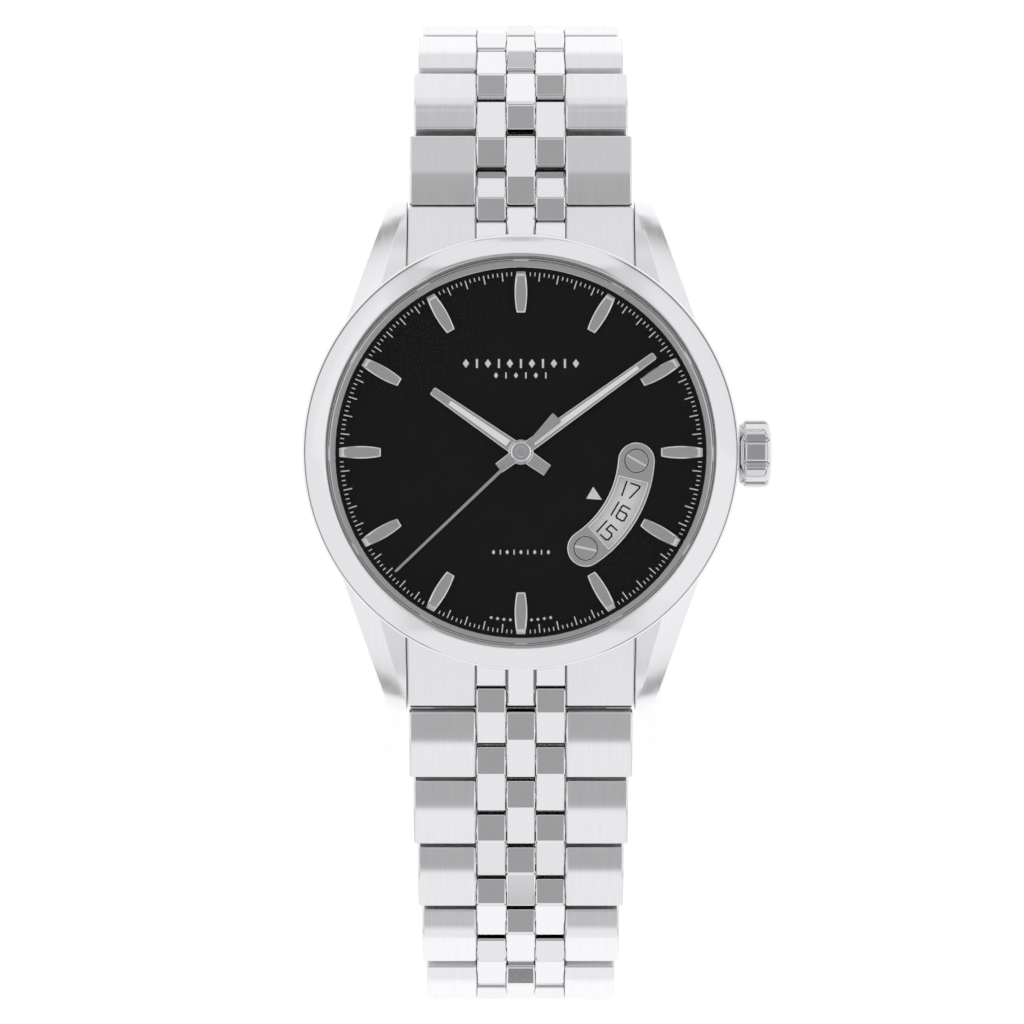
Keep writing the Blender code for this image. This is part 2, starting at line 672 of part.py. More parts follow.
def main():
    clear_scene()
    steel = material("steel", (0.62, 0.62, 0.63), 1.0, 0.28)
    brushed = material("brushed_link_steel", (0.58, 0.58, 0.59), 1.0, 0.38)
    polished = material("polished_steel", (0.68, 0.68, 0.70), 1.0, 0.14)
    grey = material("grey_steel", (0.34, 0.34, 0.35), 1.0, 0.35)
    nickel = material("nickel", (0.60, 0.58, 0.54), 1.0, 0.30)
    brass = material("gilt_brass", (0.66, 0.50, 0.26), 1.0, 0.28)
    black = material("dial_black", (0.012, 0.012, 0.013), 0.0, 0.25)
    white = material("date_white", (0.74, 0.75, 0.76), 0.0, 0.5)
    glass = material("sapphire", (0.95, 0.97, 0.98), 0.0, 0.02, 0.25)

    make_case(steel)
    make_crystal(glass)
    make_flange(polished)
    make_case_back(steel, glass)
    make_dial(black)
    make_date_frame(grey)
    make_hands(grey)
    make_date_ring(white)
    make_movement(nickel, brass)
    make_rotor(nickel)
    make_crown(polished)

    points_12 = chain(FIRST_PIN_12, TILTS_12, 1)
    points_6 = chain(FIRST_PIN_6, TILTS_6, -1)
    make_end_link("end_link_12", 1, FIRST_PIN_12, brushed)
    make_end_link("end_link_6", -1, FIRST_PIN_6, brushed)
    make_links("12", points_12, brushed)
    make_links("6", points_6, brushed)
    arc = ClaspArc(points_12[-1], points_6[-1])
    make_cover(arc, "12", points_12[-1], brushed)
    make_cover(arc, "6", points_6[-1], brushed)
    make_blade(arc, "12", polished)
    make_blade(arc, "6", polished)
    make_plate(arc, polished)
    make_buttons(arc, polished)


main()
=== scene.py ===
"""Looks of the automatic wristwatch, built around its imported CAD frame.

Lengths of the watch are in millimetres and are scaled by MM when a mesh is made; those of the
stage, the lights and the camera are in metres.  +Z points out of the dial, +Y to 12 o'clock, +X
to the crown.
"""
import math

import bmesh
import bpy
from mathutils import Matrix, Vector
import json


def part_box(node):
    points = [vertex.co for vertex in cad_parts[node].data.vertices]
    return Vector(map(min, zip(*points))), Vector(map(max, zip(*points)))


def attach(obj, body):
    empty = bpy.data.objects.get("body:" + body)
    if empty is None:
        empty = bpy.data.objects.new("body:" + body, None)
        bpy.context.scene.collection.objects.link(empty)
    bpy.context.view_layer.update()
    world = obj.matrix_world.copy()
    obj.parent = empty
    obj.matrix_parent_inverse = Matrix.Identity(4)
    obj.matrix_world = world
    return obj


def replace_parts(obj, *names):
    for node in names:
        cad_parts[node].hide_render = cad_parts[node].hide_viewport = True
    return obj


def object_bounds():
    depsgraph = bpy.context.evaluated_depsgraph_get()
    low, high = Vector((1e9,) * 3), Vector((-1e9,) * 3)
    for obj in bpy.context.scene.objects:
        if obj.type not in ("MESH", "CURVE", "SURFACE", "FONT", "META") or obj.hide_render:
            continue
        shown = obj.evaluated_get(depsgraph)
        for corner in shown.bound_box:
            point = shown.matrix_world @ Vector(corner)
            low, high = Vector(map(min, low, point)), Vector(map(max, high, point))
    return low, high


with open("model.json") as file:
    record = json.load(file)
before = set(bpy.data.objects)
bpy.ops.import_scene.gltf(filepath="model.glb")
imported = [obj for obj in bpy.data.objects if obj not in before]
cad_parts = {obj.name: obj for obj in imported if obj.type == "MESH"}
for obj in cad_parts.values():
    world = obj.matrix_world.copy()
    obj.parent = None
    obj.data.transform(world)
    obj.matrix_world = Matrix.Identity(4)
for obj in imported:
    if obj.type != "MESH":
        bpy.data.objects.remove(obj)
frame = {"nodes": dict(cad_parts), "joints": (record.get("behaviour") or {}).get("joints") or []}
cad_box = [list(corner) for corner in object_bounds()]

MM = 0.001
NODES = frame["nodes"]
JOINTS = {joint["name"]: joint for joint in frame["joints"]}

# Head, the same places as the CAD solids have
CASE_R = 20.6
BEZEL_R = 21.0
STEM_Z = 4.8
DIAL_TOP = 6.7
# Lower and upper side of the print on the dial and on the date ring
PRINT = (DIAL_TOP + 0.002, DIAL_TOP + 0.018)
NUMERAL_PRINT = (6.201, 6.212)
MINUTE_TRACK_R = 17.45
MARKER_R = (13.5, 17.5)
MARKER_EDGE_Z = 7.14
MARKER_TOP_Z = 7.20
DATE_ARC_R = 11.15
DATE_ARC_HALF = 1.76
DATE_ARC_ENDS = (94.15, 146.1)
DATE_OPENING_R = (9.73, 12.52)
DATE_OPENING_ENDS = (103.7, 137.6)
DATE_STEP = 360 / 31
DATE_SHOWN = 16
DATE_SHOWN_ANGLE = 120.65
POINTER_ANGLE = 120.3
HOUR_ANGLE = 304.8
MINUTE_ANGLE = 54.1
SECOND_ANGLE = 226.3
BALANCE_CENTRE = (-6.2, -6.2)
LUG_INNER = 11.0
LUG_TIP_Y = 24.65

# Bracelet
HALF_PITCH = 3.6
LINKS_PER_SIDE = 8
MIDDLE_HALF = 1.40
INNER_ROW = (1.45, 4.30)
OUTER_ROW_START = 4.35
# As (y, z): the pivot without a joint, where the loop is opened, and a place inside the loop
FIRST_PIN_6 = (-26.1, 2.4)
LOOP_INSIDE = (-6.0, -18.0)
LINK_TOP_Z = 1.67
LINK_NEAR_R = 1.60
LINK_FAR_R = 1.65
LINK_REACH = HALF_PITCH / 2 + LINK_FAR_R
# Outer side of a link as (u, v, corner radius): near end, ridge, longer far slope, far end
LINK_CORNERS = ((-3.4, 0.2, 0.0), (-3.4, 0.80, 0.22), (-1.0, LINK_TOP_Z, 0.9),
                (LINK_REACH, 0.86, 0.22), (LINK_REACH, 0.35, 0.0))
SOFT_RIDGE_R = 3.4
OUTER_BEVEL = 0.2
INNER_BEVEL = 0.14
PIN_R = 0.4
PIN_HALF = OUTER_ROW_START + 0.4
PIN_HEAD_STANDS_OUT = 0.02
PIN_HEAD = ((0, 0.0), (0.38, 0.0), (0.42, -0.03), (0.42, -0.3), (0, -0.3))
# Section of the dark bar under a gap, painted shade for the gap's depth, as (u, v) from the middle
# of its link
GAP_BAR = ((-0.30, -0.75), (-0.17, -1.1), (0.22, -1.1), (0.36, -0.75))

SMOOTH_ANGLE = 32.0


# ----------------------------------------------------------------- meshes

class Shape:
    """Collects vertices and faces in millimetres, then becomes one object."""

    def __init__(self):
        self.verts = []
        self.faces = []

    def add(self, verts, faces):
        first = len(self.verts)
        self.verts += [tuple(v) for v in verts]
        self.faces += [[first + i for i in face] for face in faces]
        return self

    def loft(self, sections, ring=False):
        """Closed sections of equal length, joined in order and capped, or joined to a ring."""
        count = len(sections[0])
        verts = [point for section in sections for point in section]
        faces = []
        for i in range(len(sections) if ring else len(sections) - 1):
            j = (i + 1) % len(sections)
            for k in range(count):
                m = (k + 1) % count
                faces.append([i * count + k, i * count + m, j * count + m, j * count + k])
        if not ring:
            faces.append(list(range(count)))
            faces.append([len(verts) - count + k for k in range(count)])
        return self.add(verts, faces)

    def lathe(self, profile, segments, frame_of=None, radius_of=None):
        """Turn a closed (radius, height) profile, hollow unless it starts and ends on the axis.

        frame_of maps (x, y, h) to the place wanted and radius_of varies a radius by angle.
        """
        frame_of = frame_of or (lambda x, y, h: (x, y, h))
        verts, rings = [], []
        for radius, height in profile:
            if radius == 0:
                rings.append([len(verts)] * segments)
                verts.append(frame_of(0.0, 0.0, height))
                continue
            ring = []
            for k in range(segments):
                angle = 2 * math.pi * k / segments
                r = radius_of(radius, angle, height) if radius_of else radius
                ring.append(len(verts))
                verts.append(frame_of(r * math.cos(angle), r * math.sin(angle), height))
            rings.append(ring)
        faces = []
        count = len(profile)
        for i in range(count):
            low, high = rings[i], rings[(i + 1) % count]
            for k in range(segments):
                m = (k + 1) % segments
                face = []
                for index in (low[k], low[m], high[m], high[k]):
                    if index not in face:
                        face.append(index)
                if len(face) > 2:
                    faces.append(face)
        return self.add(verts, faces)

    def tube(self, inner, outer, low, high, *lathe_settings):
        """A plain tube, or a cylinder if its inner radius is 0."""
        profile = [(inner, low), (outer, low), (outer, high), (inner, high)]
        return self.lathe(profile, *lathe_settings)

    def plate(self, outline, low, high, bevel=0.0):
        """Extrude an (x, y) outline along Z with a small bevel round its top and bottom."""
        if bevel <= 0:
            return self.loft([[(x, y, z) for x, y in outline] for z in (low, high)])
        tight = inset(outline, bevel)
        sections = [[(x, y, low) for x, y in tight], [(x, y, low + bevel) for x, y in outline],
                    [(x, y, high - bevel) for x, y in outline], [(x, y, high) for x, y in tight]]
        return self.loft(sections)

    def bar(self, outline, low, high):
        """Extrude a (y, z) outline along X."""
        return self.loft([[(x, y, z) for y, z in outline] for x in (low, high)])

    def link(self, name):
        """Put the shape in the scene as an object, in metres and with outward normals."""
        mesh = bpy.data.meshes.new(name)
        mesh.from_pydata([Vector(v) * MM for v in self.verts], [], self.faces)
        work = bmesh.new()
        work.from_mesh(mesh)
        bmesh.ops.recalc_face_normals(work, faces=work.faces)
        work.to_mesh(mesh)
        work.free()
        obj = bpy.data.objects.new(name, mesh)
        bpy.context.scene.collection.objects.link(obj)
        return obj

    def make(self, name, body, mat, slot_name, smooth=SMOOTH_ANGLE):
        """Turn the shape into a visible piece that rides on its body."""
        obj = self.link(name)
        shade(obj.data, smooth)
        paint(obj, mat)
        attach(obj, body)
        return obj


def paint(obj, mat):
    """Give an object its one material."""
    obj.data.materials.clear()
    obj.data.materials.append(mat)


def shade(mesh, angle):
    """Smooth faces with sharp edges wherever two faces meet at more than angle degrees."""
    work = bmesh.new()
    work.from_mesh(mesh)
    limit = math.radians(angle)
    for face in work.faces:
        face.smooth = True
    for edge in work.edges:
        edge.smooth = len(edge.link_faces) == 2 and edge.calc_face_angle(0.0) < limit
    work.to_mesh(mesh)
    work.free()


def inset(outline, amount):
    """Move each corner of a closed (x, y) outline inwards by about amount."""
    count = len(outline)
    normals, area = [], 0.0
    for (x0, y0), (x1, y1) in zip(outline, outline[1:] + outline[:1]):
        area += x0 * y1 - x1 * y0
        length = math.hypot(x1 - x0, y1 - y0) or 1.0
        normals.append(((y0 - y1) / length, (x1 - x0) / length))
    side = 1.0 if area > 0 else -1.0
    result = []
    for k in range(count):
        nx, ny = normals[k - 1][0] + normals[k][0], normals[k - 1][1] + normals[k][1]
        scale = 2.0 * side / max(nx * nx + ny * ny, 0.6)
        result.append((outline[k][0] + nx * scale * amount, outline[k][1] + ny * scale * amount))
    return result


def turned(point, angle):
    """Turn an (x, y) point drawn towards 12 o'clock clockwise by angle degrees."""
    a = math.radians(angle)
    x, y = point
    return (x * math.cos(a) + y * math.sin(a), -x * math.sin(a) + y * math.cos(a))


def polar(radius, angle):
    """The (x, y) point at a radius, angle degrees clockwise from 12 o'clock."""
    return turned((0.0, radius), angle)


def filleted(corners, steps=4):
    """Round the corners of an open outline and keep its straight runs flat when shaded."""
    support = 0.05
    points = [corners[0][:2]]
    for before, here, after in zip(corners, corners[1:], corners[2:]):
        corner = Vector(here[:2])
        back = (Vector(before[:2]) - corner).normalized()
        ahead = (Vector(after[:2]) - corner).normalized()
        half_turn = (math.pi - back.angle(ahead)) / 2
        reach = here[2] * math.tan(half_turn)
        middle = corner + (back + ahead).normalized() * here[2] / math.cos(half_turn)
        first, last = corner + back * reach - middle, corner + ahead * reach - middle
        points.append(tuple(corner + back * (reach + support)))
        for k in range(steps + 1):
            arm = first.lerp(last, k / steps).normalized() * here[2]
            points.append(tuple(middle + arm))
        points.append(tuple(corner + ahead * (reach + support)))
    return points + [corners[-1][:2]]


def circle(centre, radius, sides):
    angles = [2 * math.pi * k / sides for k in range(sides)]
    return [(centre[0] + radius * math.cos(a), centre[1] + radius * math.sin(a)) for a in angles]


def rectangle(x, y, width, height):
    """Outline of a rectangle that has its centre at x and y."""
    a, b = width / 2, height / 2
    return [(x - a, y - b), (x + a, y - b), (x + a, y + b), (x - a, y + b)]


def upright(centre):
    """Lathe frame whose axis stands on the (x, y) centre, with h counted along +Z."""
    return lambda x, y, h: (x + centre[0], y + centre[1], h)


def along_x(x, y, h):
    """Lathe frame whose axis is the crown's, with h counted along +X."""
    return (h, x, y + STEM_Z)


def cut(obj, tool_shape, smooth):
    """Cut a shape out of an object and shade what is left."""
    tool = tool_shape.link("tool")
    modifier = obj.modifiers.new("cut", "BOOLEAN")
    modifier.operation = "DIFFERENCE"
    modifier.solver = "EXACT"
    modifier.object = tool
    bpy.context.view_layer.update()
    graph = bpy.context.evaluated_depsgraph_get()
    result = bpy.data.meshes.new_from_object(obj.evaluated_get(graph))
    obj.modifiers.clear()
    obj.data = result
    bpy.data.objects.remove(tool, do_unlink=True)
    shade(obj.data, smooth)


def soften(obj, width, segments=2, angle=40.0):
    """Round the sharp edges of an object with a Bevel modifier."""
    bevel = obj.modifiers.new("edges", "BEVEL")
    bevel.width = width * MM
    bevel.segments = segments
    bevel.limit_method = "ANGLE"
    bevel.angle_limit = math.radians(angle)
    bevel.harden_normals = False


# -------------------------------------------------------------- materials

def new_material(name, settings):
    """A material with values set on its shader; returns it with its tree and its shader."""
    mat = bpy.data.materials.new(name)
    mat.use_nodes = True
    shader = mat.node_tree.nodes["Principled BSDF"]
    connect(mat.node_tree, shader, settings)
    return mat, mat.node_tree, shader


def connect(tree, node, inputs):
    """Give each named input its value, or a link if the value is another node's output."""
    for name, value in inputs.items():
        if isinstance(value, bpy.types.NodeSocket):
            tree.links.new(value, node.inputs[name])
        else:
            node.inputs[name].default_value = value


def add_node(tree, kind, inputs):
    node = tree.nodes.new("ShaderNode" + kind)
    connect(tree, node, inputs)
    return node


def coordinates(tree, scale):
    source = add_node(tree, "TexCoord", {}).outputs["Object"]
    return add_node(tree, "Mapping", {"Scale": scale, "Vector": source}).outputs["Vector"]


def noise(tree, scale, detail, roughness):
    """Noise with a scale for each axis."""
    node = add_node(tree, "TexNoise", {"Scale": 1.0, "Detail": detail, "Roughness": roughness,
                                       "Vector": coordinates(tree, scale)})
    return node.outputs["Fac"]


def spread(tree, value, low, high, start=0.3, end=0.7):
    node = add_node(tree, "MapRange", {"Value": value, "From Min": start, "From Max": end,
                                       "To Min": low, "To Max": high})
    return node.outputs["Result"]


def tint(tree, value, dark, light, start, end):
    node = add_node(tree, "ValToRGB", {"Fac": value})
    for element, position, color in zip(node.color_ramp.elements, (start, end), (dark, light)):
        element.position = position
        element.color = (*color, 1.0)
    return node.outputs["Color"]


def bump(tree, height, strength, distance):
    node = add_node(tree, "Bump", {"Strength": strength, "Distance": distance * MM,
                                   "Height": height})
    return node.outputs["Normal"]


def arithmetic(tree, operation, *values):
    """A Math node over values that are numbers or outputs of other nodes."""
    node = tree.nodes.new("ShaderNodeMath")
    node.operation = operation
    connect(tree, node, dict(enumerate(values)))
    return node.outputs["Value"]


def components(tree, output):
    """The X, Y and Z outputs of one of the texture coordinates."""
    source = add_node(tree, "TexCoord", {}).outputs[output]
    return add_node(tree, "SeparateXYZ", {"Vector": source}).outputs


def darker_sides(tree, color, side):
    """The colour multiplied by side on faces that look along X, such as the links' cut ends, as
    painted shade on those sides.
    """
    facing = arithmetic(tree, "ABSOLUTE", components(tree, "Normal")["X"])
    factor = spread(tree, facing, 1.0, side, 0.8, 0.98)
    node = tree.nodes.new("ShaderNodeVectorMath")
    node.operation = "SCALE"
    connect(tree, node, {"Vector": color, "Scale": factor})
    return node.outputs["Vector"]


METAL = {"Metallic": 1.0}


def surface(name, settings, pattern_of, dark, light, rough, relief, tints=(0.3, 0.7),
            roughs=(0.3, 0.7), side=1.0):
    """A material whose one pattern drives its colour, its roughness and its relief."""
    mat, tree, shader = new_material(name, settings)
    pattern = pattern_of(tree)
    color = tint(tree, pattern, dark, light, *tints)
    # A side below 1 darkens faces that look along X: painted shade
    if side < 1.0:
        color = darker_sides(tree, color, side)
    connect(tree, shader, {"Base Color": color,
                           "Roughness": spread(tree, pattern, *rough, *roughs),
                           "Normal": bump(tree, pattern, *relief)})
    return mat


def brushed(name, dark, light, rough, scale, strength, side=1.0):
    """Fine brushing: its grain is fine along the axes that have a big scale."""
    return surface(name, METAL, lambda tree: noise(tree, scale, 5.0, 0.65), dark, light, rough,
                   (strength, 0.004), side=side)


def polished(name, dark, light, rough):
    """Mirror steel with faint hairline wear in its roughness and colour."""
    return surface(name, METAL, lambda tree: noise(tree, (7000, 5000, 6000), 4.0, 0.6), dark,
                   light, rough, (0.015, 0.001))


def grainy(name, dark, light, rough, metallic, size=3000, strength=0.1, specular=0.5, painted_glow=0.0):
    """Paint, print, lume and other even finishes with a very fine grain, which may glow a little
    as painted light.
    """
    settings = {"Metallic": metallic, "Specular IOR Level": specular,
                "Emission Color": (1.0, 1.0, 1.0, 1.0), "Emission Strength": painted_glow}
    return surface(name, settings, lambda tree: noise(tree, (size, size, size), 3.0, 0.5), dark,
                   light, rough, (strength, 0.003))


def stripes(tree):
    """Broad parallel stripes, as cut on movement bridges."""
    node = add_node(tree, "TexWave", {"Scale": 95.0, "Distortion": 0.4,
                                      "Vector": coordinates(tree, (1, 1, 0.001))})
    node.wave_profile = "SAW"
    node.bands_direction = "DIAGONAL"
    return node.outputs["Fac"]


def round_spots(tree):
    """Overlapping round spots, as on a grained main plate."""
    node = add_node(tree, "TexVoronoi", {"Scale": 1100.0, "Randomness": 0.15,
                                         "Vector": coordinates(tree, (1, 1, 1))})
    return node.outputs["Distance"]


def clear_glass(name):
    """Nearly invisible glass with faint smears."""
    mat, tree, shader = new_material(name, {
        "Metallic": 0.0, "Base Color": (0.02, 0.022, 0.025, 1.0), "Specular IOR Level": 0.5,
        "Alpha": 0.05})
    smear = noise(tree, (300, 300, 300), 3.0, 0.5)
    connect(tree, shader, {"Roughness": spread(tree, smear, 0.01, 0.03)})
    return mat


def grey(level, blue=0.01):
    """A grey colour, slightly bluish unless blue is 0."""
    return (level, level, level + blue)


# Grain scales across and along the brushing
FAST, SLOW = 9000, 260
# The lengthwise and lug brushings darken faces that look along X, by 0.62 and 0.8: painted shade
steel_lengthwise = brushed("brushed_lengthwise", grey(0.87), grey(0.94), (0.28, 0.35),
                           (FAST, SLOW, SLOW), 0.08, 0.62)
steel_lug = brushed("fine_brushed_lug", grey(0.86), grey(0.92), (0.20, 0.26),
                    (FAST, SLOW, SLOW), 0.05, 0.8)
steel_band = brushed("brushed_round_the_band", grey(0.64), grey(0.74), (0.22, 0.30),
                     (SLOW, SLOW, FAST), 0.12)
steel_mirror = polished("mirror_steel", grey(0.84), grey(0.87), (0.03, 0.06))
# Darker than the mirror steel, so that the crown's lobes look shaded: painted shade
steel_crown = polished("crown_steel", grey(0.68), grey(0.74), (0.09, 0.14))
steel_bezel = polished("bezel_steel", grey(0.81), grey(0.85), (0.06, 0.12))
steel_grey = brushed("satin_grey_steel", grey(0.83), grey(0.87), (0.14, 0.20),
                     (6000, 6000, 6000), 0.02)
steel_rehaut = polished("rehaut_steel", grey(0.84), grey(0.88), (0.10, 0.16))
steel_facet = polished("marker_facet", grey(0.82), grey(0.88, 0), (0.08, 0.14))
lacquer = grainy("dial_lacquer", (0.0085, 0.0085, 0.009), (0.0115, 0.0115, 0.012),
                 (0.10, 0.16), 0.0, 2500, 0.02, 0.12)
# The print glows a little: painted light that brightens it
print_white = grainy("white_print", grey(0.66, 0), grey(0.80, 0), (0.45, 0.6), 0.0,
                     3000, 0.1, 0.5, 0.12)
# The lume glows a little in white: painted light that brightens the inlay
lume = grainy("lume", (0.86, 0.87, 0.86), (0.93, 0.93, 0.92), (0.5, 0.7), 0.0,
              9000, 0.3, 0.5, 0.16)
# The date disc glows a little: painted light against the shade of its deep window
date_face = grainy("date_disc_silver", grey(0.86, 0), grey(0.90, 0), (0.30, 0.40),
                   0.2, 5000, 0.03, 0.5, 0.16)
date_ink = grainy("date_ink", (0.006, 0.006, 0.007), (0.012, 0.012, 0.013), (0.4, 0.6), 0.0)
shadow_gap = grainy("shadow_gap", grey(0.004, 0), grey(0.007, 0), (0.6, 0.8), 0.0)
# Dark grey for the bars under the links' gaps: painted shade for the depth of each gap
gap_shade_steel = grainy("painted_gap_shade", grey(0.05, 0), grey(0.08, 0), (0.5, 0.65), 0.3)
sapphire = clear_glass("sapphire_glass")
nickel_stripes = surface("striped_nickel", METAL, stripes, (0.46, 0.45, 0.42),
                         (0.74, 0.72, 0.68), (0.18, 0.38), (0.5, 0.02), (0.0, 1.0), (0.0, 1.0))
nickel_grain = surface("grained_nickel", METAL, round_spots, (0.42, 0.40, 0.36),
                       (0.66, 0.63, 0.58), (0.2, 0.42), (0.3, 0.01), (0.1, 0.6), (0.0, 0.7))
gilt = polished("gilt_brass", (0.70, 0.52, 0.22), (0.84, 0.64, 0.32), (0.14, 0.26))
ruby = grainy("ruby_jewel", (0.30, 0.006, 0.02), (0.45, 0.012, 0.035), (0.05, 0.1), 0.0)
blue_steel = polished("blued_steel", (0.012, 0.03, 0.22), (0.02, 0.05, 0.34), (0.08, 0.16))
gasket = grainy("grey_gasket", grey(0.30, 0), grey(0.38, 0), (0.5, 0.7), 0.0)

# Finishes used often, as a material and the slot it goes in
POLISHED = (steel_mirror, "polished_steel")
BRUSHED = (steel_lengthwise, "brushed_link_steel")
SATIN = (steel_grey, "grey_steel")
PRINTED = (print_white, "date_white")


# ------------------------------------------------------------------- case

LUG_BEND_X = 13.0
LUG_BEND_Y = 23.9
# Lug heights along Y as (y, underside, inner top edge)
LUG_STATIONS = ((11.4, 1.7, 7.3), (14.3, 1.25, 7.15), (16.0, 1.1, 7.0), (18.0, 1.0, 6.7),
                (20.0, 0.9, 6.15), (21.6, 0.9, 5.45), (23.0, 0.95, 4.55), (LUG_BEND_Y, 1.1, 3.75),
                (24.4, 1.3, 3.15), (LUG_TIP_Y, 1.6, 2.6))
LUG_INNER_SLOPE = 0.24
LUG_OUTER_SLOPE = 0.55
LUG_RIDGE_SLANT = 2.45 / 8.65
SPRING_BAR_Y = 22.4
SPRING_BAR_Z = 2.7


def lug_outer(y):
    """The lug's outer side: it runs in towards the tip and is cut back beyond its bend."""
    slant = 1.1 if y > LUG_BEND_Y else 0.355
    return LUG_BEND_X + (LUG_BEND_Y - y) * slant


def lug_sections(side_x, side_y):
    """Sections of a lug: an inner facet up to a slanting ridge and a steeper outer facet."""
    sections = []
    for y, low, high in LUG_STATIONS:
        outer = lug_outer(y)
        ridge = LUG_INNER + 0.15 + (LUG_TIP_Y - y) * LUG_RIDGE_SLANT
        ridge = min(ridge, outer - 0.35)
        crest = high - (ridge - LUG_INNER) * LUG_INNER_SLOPE
        side = max(crest - (outer - ridge) * LUG_OUTER_SLOPE, low + 0.5)
        section = ((LUG_INNER, low), (outer - 0.25, low), (outer, low + 0.3),
                   (outer, side), (outer - 0.08, side + 0.05),
                   (ridge, crest), (LUG_INNER + 0.08, high), (LUG_INNER, high - 0.08))
        sections.append([(side_x * x, side_y * y, z) for x, z in section])
    return sections


def cylinder(radius):
    """A tool as tall as the case, which cuts away what would lie inside it."""
    return Shape().tube(0, radius, -1, 12, 192)


def make_band():
    """The case's brushed band, bored for the stem."""
    band = Shape().lathe([
        (17.9, 1.18), (19.5, 1.18), (20.25, 1.7), (20.5, 2.1), (CASE_R, 2.6), (CASE_R, 7.1),
        (20.5, 7.4), (20.2, 7.6), (19.05, 7.6), (19.05, 6.26), (17.45, 6.26), (17.45, 1.85),
        (17.9, 1.85)], 192).make("case_band", "case", steel_band, "steel", 28)
    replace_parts(band, "case_middle")
    cut(band, Shape().tube(0, 1.5, 15.0, 23.0, 32, along_x), 28)


def make_lugs():
    """Four lugs and the heads of the spring bars in their outer sides."""
    for side_y, hours in ((1, "12"), (-1, "6")):
        for side_x, hand in ((1, "right"), (-1, "left")):
            lug = Shape().loft(lug_sections(side_x, side_y)).make(
                f"lug_{hours}_{hand}", "case", steel_lug, "steel", 12)
            cut(lug, cylinder(CASE_R - 0.15), 12)
            soften(lug, 0.05, 2, 12)
            bar_head = Shape().lathe([(0, 0), (0.55, 0), (0.6, 0.06), (0.42, 0.12), (0, 0.12)],
                                     24, lambda x, y, h, sx=side_x, sy=side_y:
                                     (sx * (lug_outer(SPRING_BAR_Y) - 0.16 + h),
                                      sy * SPRING_BAR_Y + x, SPRING_BAR_Z + y))
            bar_head.make(f"spring_bar_head_{hours}_{hand}", "case", steel_mirror, "steel")


def make_crown_tube():
    profile = [(0.66, 18.2), (1.48, 18.2), (1.48, 21.9), (1.36, 22.1), (0.66, 22.1)]
    tube = Shape().lathe(profile, 40, along_x)
    tube.make("crown_tube", "case", steel_mirror, "steel")


def make_bezel():
    """Bezel, crystal with its gasket, and the flange between crystal and dial."""
    bezel = Shape().lathe([
        (18.7, 7.66), (20.85, 7.66), (20.97, 7.74), (BEZEL_R, 7.9), (BEZEL_R, 8.20), (20.96, 8.30),
        (20.76, 8.485), (20.6, 8.60), (20.3, 8.82), (19.9, 9.1), (19.5, 9.36), (19.15, 9.58),
        (18.95, 9.70), (18.82, 9.74), (18.74, 9.72), (18.7, 9.64)], 256)
    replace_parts(bezel.make("bezel_ring", "case", steel_bezel, "steel", 30), "bezel")
    crystal = Shape().lathe([
        (0, 8.5), (18.3, 8.5), (18.6, 8.55), (18.62, 9.85), (18.5, 10.1), (18.25, 10.26),
        (17.9, 10.3), (0, 10.3)], 192)
    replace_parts(crystal.make("crystal_glass", "case", sapphire, "sapphire", 30), "crystal")
    Shape().tube(18.63, 18.69, 8.6, 9.6, 192).make("crystal_gasket", "case", gasket, "steel")
    flange = Shape().lathe([
        (17.87, 6.74), (17.87, 7.06), (17.91, 7.10), (18.34, 7.16), (18.36, 7.40), (18.42, 8.30),
        (18.48, 8.40), (18.6, 8.42), (18.6, 7.6), (18.9, 7.5), (18.9, 6.74)], 256)
    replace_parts(flange.make("rehaut", "case", steel_rehaut, "polished_steel", 24), "flange_ring")


def make_case_back():
    """Screwed ring with six key notches, and the glass in it."""
    ring = Shape().lathe([
        (13.45, 0.04), (13.6, 0.0), (15.0, 0.0), (15.05, 0.06), (15.2, 0.06), (15.25, 0.0),
        (17.1, 0.0), (17.35, 0.06), (17.8, 0.48), (17.84, 0.6), (17.84, 1.78), (12.95, 1.78),
        (12.95, 1.04), (13.45, 1.04)], 192)
    ring = ring.make("case_back", "case", steel_band, "steel", 25)
    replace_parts(ring, "case_back_ring")
    for k in range(6):
        notch = circle(polar(16.15, 60 * k + 30), 0.85, 28)
        cut(ring, Shape().plate(notch, -0.6, 0.42), 25)
    glass = Shape().lathe([(0, 0.0), (13.3, 0.0), (13.42, 0.08), (13.42, 1.0), (0, 1.0)], 160)
    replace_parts(glass.make("back_glass", "case", sapphire, "sapphire"), "case_back_glass")


# -------------------------------------------------------------- dial side

def make_dial():
    """The lacquered plate with its date opening; the markers are pieces of their own."""
    plate = Shape().lathe([(0.8, 6.3), (18.9, 6.3), (18.9, DIAL_TOP), (0.84, DIAL_TOP),
                           (0.8, DIAL_TOP - 0.04)], 192)
    plate = plate.make("dial_plate", "case", lacquer, "dial_black", 24)
    _, opening = frame_loops(-0.12)
    cut(plate, Shape().plate(opening, 6.0, 7.0), 24)
    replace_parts(plate, "dial")


def barrel_outline(half_end, half_middle, low, high):
    """Outline of a bar along Y that is widest in the middle."""
    steps = 10
    points = []
    for k in range(steps + 1):
        t = k / steps
        half = half_end + (half_middle - half_end) * math.sin(math.pi * t) ** 0.8
        points.append((half, low + (high - low) * t))
    return points + [(-x, y) for x, y in reversed(points)]


def make_markers():
    """Barrel-shaped bars with a thin slanted border and a broad facet at the outer end."""
    low, high = MARKER_R
    border, facet = 0.10, 0.48
    base = barrel_outline(0.40, 0.60, low, high)
    crest = barrel_outline(0.40 - border, 0.60 - border, low + border, high - facet)
    rings = [[(x, y, DIAL_TOP - 0.03) for x, y in base],
             [(x, y, MARKER_EDGE_Z - 0.32 * max(0.0, (y - (high - facet)) / facet))
              for x, y in base],
             [(x, y, MARKER_TOP_Z) for x, y in crest]]
    for hour in range(12):
        shape = Shape().loft([[(*turned((x, y), 30 * hour), z) for x, y, z in ring]
                              for ring in rings])
        shape.make(f"marker_{hour or 12}", "case", *SATIN, 12)


